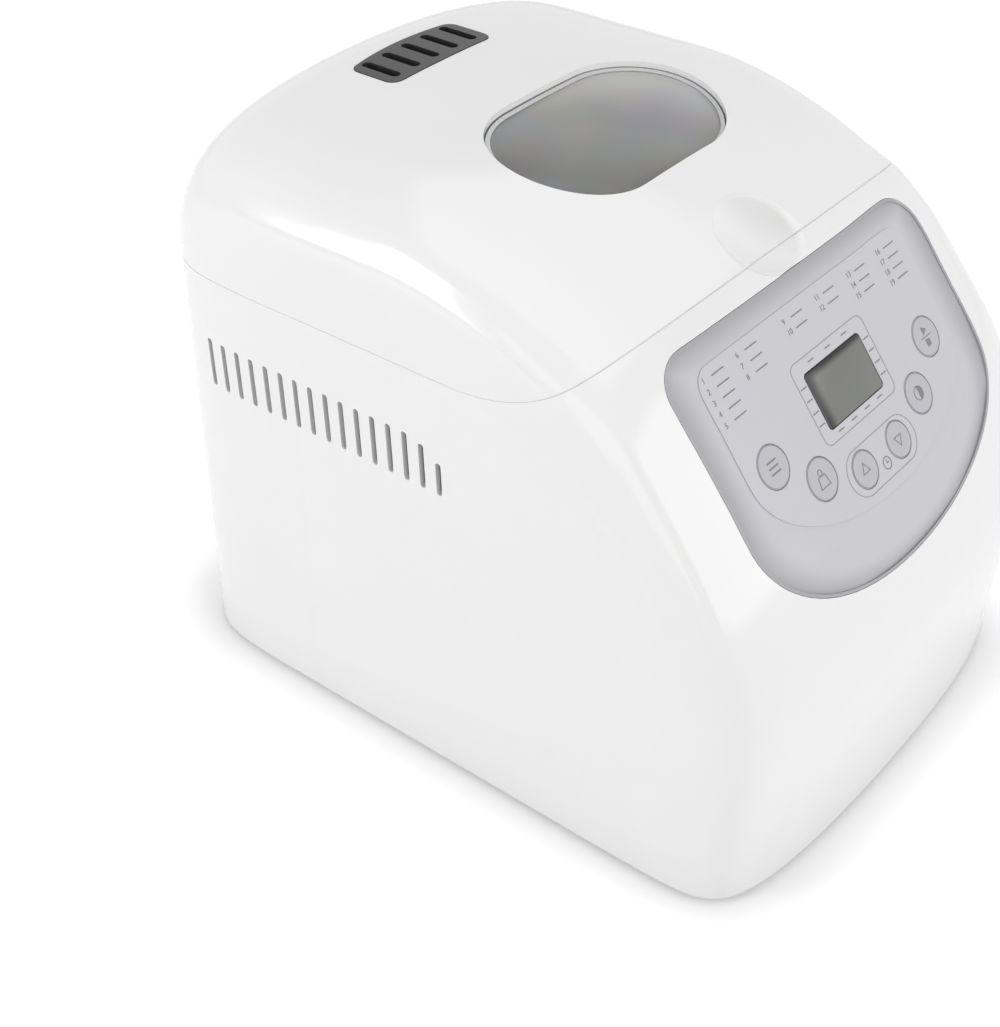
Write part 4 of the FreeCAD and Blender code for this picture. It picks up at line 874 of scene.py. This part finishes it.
# glazing that fills the screen's opening, over its lens
screenGlazing = dict(width=42.7, height=25.7, corner=2.0, above=0.05, below=0.18, edge=0.25, edgeSteps=2)
lensTop = slopeTop("screen_lens")
glazing = plateFrom(screenGlazing["width"] * mm, screenGlazing["height"] * mm, screenGlazing["corner"] * mm)
liftMark(glazing, overlayFace - lensTop - (screenGlazing["above"] + screenGlazing["below"]) * mm)
pickFaces(glazing, facesUp)
bpy.ops.mesh.bevel(offset=screenGlazing["edge"] * mm, segments=screenGlazing["edgeSteps"], affect="EDGES")
leaveEdit()
layMark(glazing, 0, 0, lensTop + screenGlazing["above"] * mm)
# the glazing's face carries the painted shade of the screen's opening
finishPiece(glazing, "screen_glazing", "screenFace", "housing")
print("steam tray and screen glazing made")

# grip on the handle's cross bar: a sleeve with soft ends and ring grooves
gripSleeve = dict(length=70.0, radius=3.5, sides=40, y=81.9, z=190.0, grooves=9, grooveWidth=1.2,
                  grooveDepth=0.45, grooveInset=0.15, endBevel=1.0, endSteps=4)
grooveHalf = gripSleeve["grooveWidth"] / 2 * mm
groovePitch = gripSleeve["length"] / (gripSleeve["grooves"] + 1) * mm
gripEnd = gripSleeve["length"] / 2 * mm
clearSelection()
bpy.ops.mesh.primitive_cylinder_add(vertices=gripSleeve["sides"], radius=gripSleeve["radius"] * mm,
                                    depth=gripSleeve["length"] * mm)
grip = bpy.context.object
for step in range(gripSleeve["grooves"]):
    middle = (step - (gripSleeve["grooves"] - 1) / 2) * groovePitch
    for edge in (-grooveHalf, grooveHalf):
        editAll(grip)
        bpy.ops.mesh.bisect(plane_co=(0, 0, middle + edge), plane_no=(0, 0, 1))
        leaveEdit()
    pickFaces(grip, lambda centre, normal: abs(centre.z - middle) < grooveHalf and abs(normal.z) < facing)
    bpy.ops.mesh.inset(thickness=gripSleeve["grooveInset"] * mm, depth=-gripSleeve["grooveDepth"] * mm)
    leaveEdit()
pickFaces(grip, lambda centre, normal: abs(normal.z) > facing and abs(centre.z) > gripEnd - grooveHalf)
bpy.ops.mesh.bevel(offset=gripSleeve["endBevel"] * mm, segments=gripSleeve["endSteps"], affect="EDGES")
leaveEdit()
gripPlace = Matrix.Translation((0, gripSleeve["y"] * mm, gripSleeve["z"] * mm))
settle(grip, gripPlace @ Matrix.Rotation(math.pi / 2, 4, "Y"))
finishPiece(grip, "handle_grip", "blackPart", "handle")
print("handle grip made")

# floor, world, lamps and camera
floorLook = dict(size=8.0, colour=(0.80, 0.80, 0.80), glow=0.42, paintedShadowGlow=0.20,
                 footprint=(77.0 * mm, 131.0 * mm), reach=(45.0 * mm, 76.0 * mm))
clearSelection()
bpy.ops.mesh.primitive_plane_add(size=floorLook["size"], location=(0, 0, 0))
floor = bpy.context.object
floor.name = "floor"


def seenBySight(tree):
    path = tree.nodes.new("ShaderNodeLightPath").outputs
    seen = calc(tree, "MAXIMUM", path["Is Camera Ray"], path["Is Glossy Ray"])
    return calc(tree, "MAXIMUM", seen, path["Is Transmission Ray"])


def awayFromFoot(tree):
    # distance from an inner rectangle, so that the painted shadow's corners are round
    parts = splitPlace(tree, objectPlace(tree))
    outside = []
    for axis, half in zip("XY", floorLook["footprint"]):
        past = calc(tree, "SUBTRACT", calc(tree, "ABSOLUTE", parts[axis]), half)
        outside.append(calc(tree, "POWER", calc(tree, "MAXIMUM", past, 0.0), 2.0))
    distance = calc(tree, "SQRT", calc(tree, "ADD", *outside))
    return smoothRange(tree, distance, *floorLook["reach"])


floorMaterial, floorTree, floorShader = newMaterial("paleFloor")
floorTree.nodes.remove(floorShader)
plain = floorTree.nodes.new("ShaderNodeBsdfDiffuse")
feed(floorTree, floorLook["colour"], plain.inputs["Color"])
glow = floorTree.nodes.new("ShaderNodeEmission")
# the glow is lowered near the machine's foot, which paints a soft contact shadow on the floor
link(floorTree, mapRange(floorTree, awayFromFoot(floorTree), floorLook["paintedShadowGlow"], floorLook["glow"]),
     glow.inputs["Strength"])
added = floorTree.nodes.new("ShaderNodeAddShader")
link(floorTree, plain.outputs["BSDF"], added.inputs[0])
link(floorTree, glow.outputs["Emission"], added.inputs[1])
choose = floorTree.nodes.new("ShaderNodeMixShader")
link(floorTree, seenBySight(floorTree), choose.inputs["Fac"])
link(floorTree, plain.outputs["BSDF"], choose.inputs[1])
link(floorTree, added.outputs["Shader"], choose.inputs[2])
link(floorTree, choose.outputs["Shader"], floorTree.nodes["Material Output"].inputs["Surface"])
floor.data.materials.append(floorMaterial)

worldLook = dict(ambient=0.42, seen=1.0)
world = bpy.data.worlds.new("studio")
bpy.context.scene.world = world
world.use_nodes = True
worldTree = world.node_tree
background = worldTree.nodes["Background"]
background.inputs["Color"].default_value = (1, 1, 1, 1)
link(worldTree, mapRange(worldTree, seenBySight(worldTree), worldLook["ambient"], worldLook["seen"]),
     background.inputs["Strength"])

lamps = dict(
    keySoftbox=dict(place=(-1.60, 1.00, 0.80), aim=(0, 0, 0.16), size=(0.65, 1.25), power=12.0),
    frontFill=dict(place=(0.3, -2.4, 0.9), aim=(0, 0, 0.14), size=(3.0, 2.2), power=31.5),
    topPanel=dict(place=(0.3, 0.1, 2.2), aim=(0, 0, 0.2), size=(2.4, 2.4), power=14.5),
    sideFill=dict(place=(-2.2, -0.5, 0.6), aim=(0, 0, 0.14), size=(2.2, 1.5), power=8.6),
)
for lampName, lamp in lamps.items():
    light = bpy.data.lights.new(lampName, "AREA")
    light.shape = "RECTANGLE"
    light.size, light.size_y = lamp["size"]
    light.energy = lamp["power"]
    lampObject = bpy.data.objects.new(lampName, light)
    bpy.context.scene.collection.objects.link(lampObject)
    lampObject.location = lamp["place"]
    away = Vector(lamp["aim"]) - Vector(lamp["place"])
    lampObject.rotation_euler = away.to_track_quat("-Z", "Y").to_euler()

cameraView = dict(place=(-0.5641, -0.4392, 0.6153), azimuth=-51.21, elevation=33.76, roll=-0.94,
                  sensor=36.0, lens=65.01, shift=(-0.0679, -0.1178))
cameraData = bpy.data.cameras.new("photoCamera")
cameraData.sensor_fit = "HORIZONTAL"
cameraData.sensor_width = cameraView["sensor"]
cameraData.lens = cameraView["lens"]
cameraData.shift_x, cameraData.shift_y = cameraView["shift"]
camera = bpy.data.objects.new("photoCamera", cameraData)
bpy.context.scene.collection.objects.link(camera)
azimuth = math.radians(cameraView["azimuth"])
elevation = math.radians(cameraView["elevation"])
roll = math.radians(cameraView["roll"])
level = math.cos(elevation)
back = Vector((math.sin(azimuth) * level, -math.cos(azimuth) * level, math.sin(elevation)))
right = Vector((math.cos(azimuth), math.sin(azimuth), 0))
up = back.cross(right)
rolledRight = math.cos(roll) * right + math.sin(roll) * up
rolledUp = math.cos(roll) * up - math.sin(roll) * right
cameraTurn = Matrix((rolledRight, rolledUp, back)).transposed().to_4x4()
camera.matrix_world = Matrix.Translation(cameraView["place"]) @ cameraTurn
bpy.context.scene.camera = camera
bpy.context.scene.view_settings.view_transform = "Standard"
print("stage, lamps and camera set")
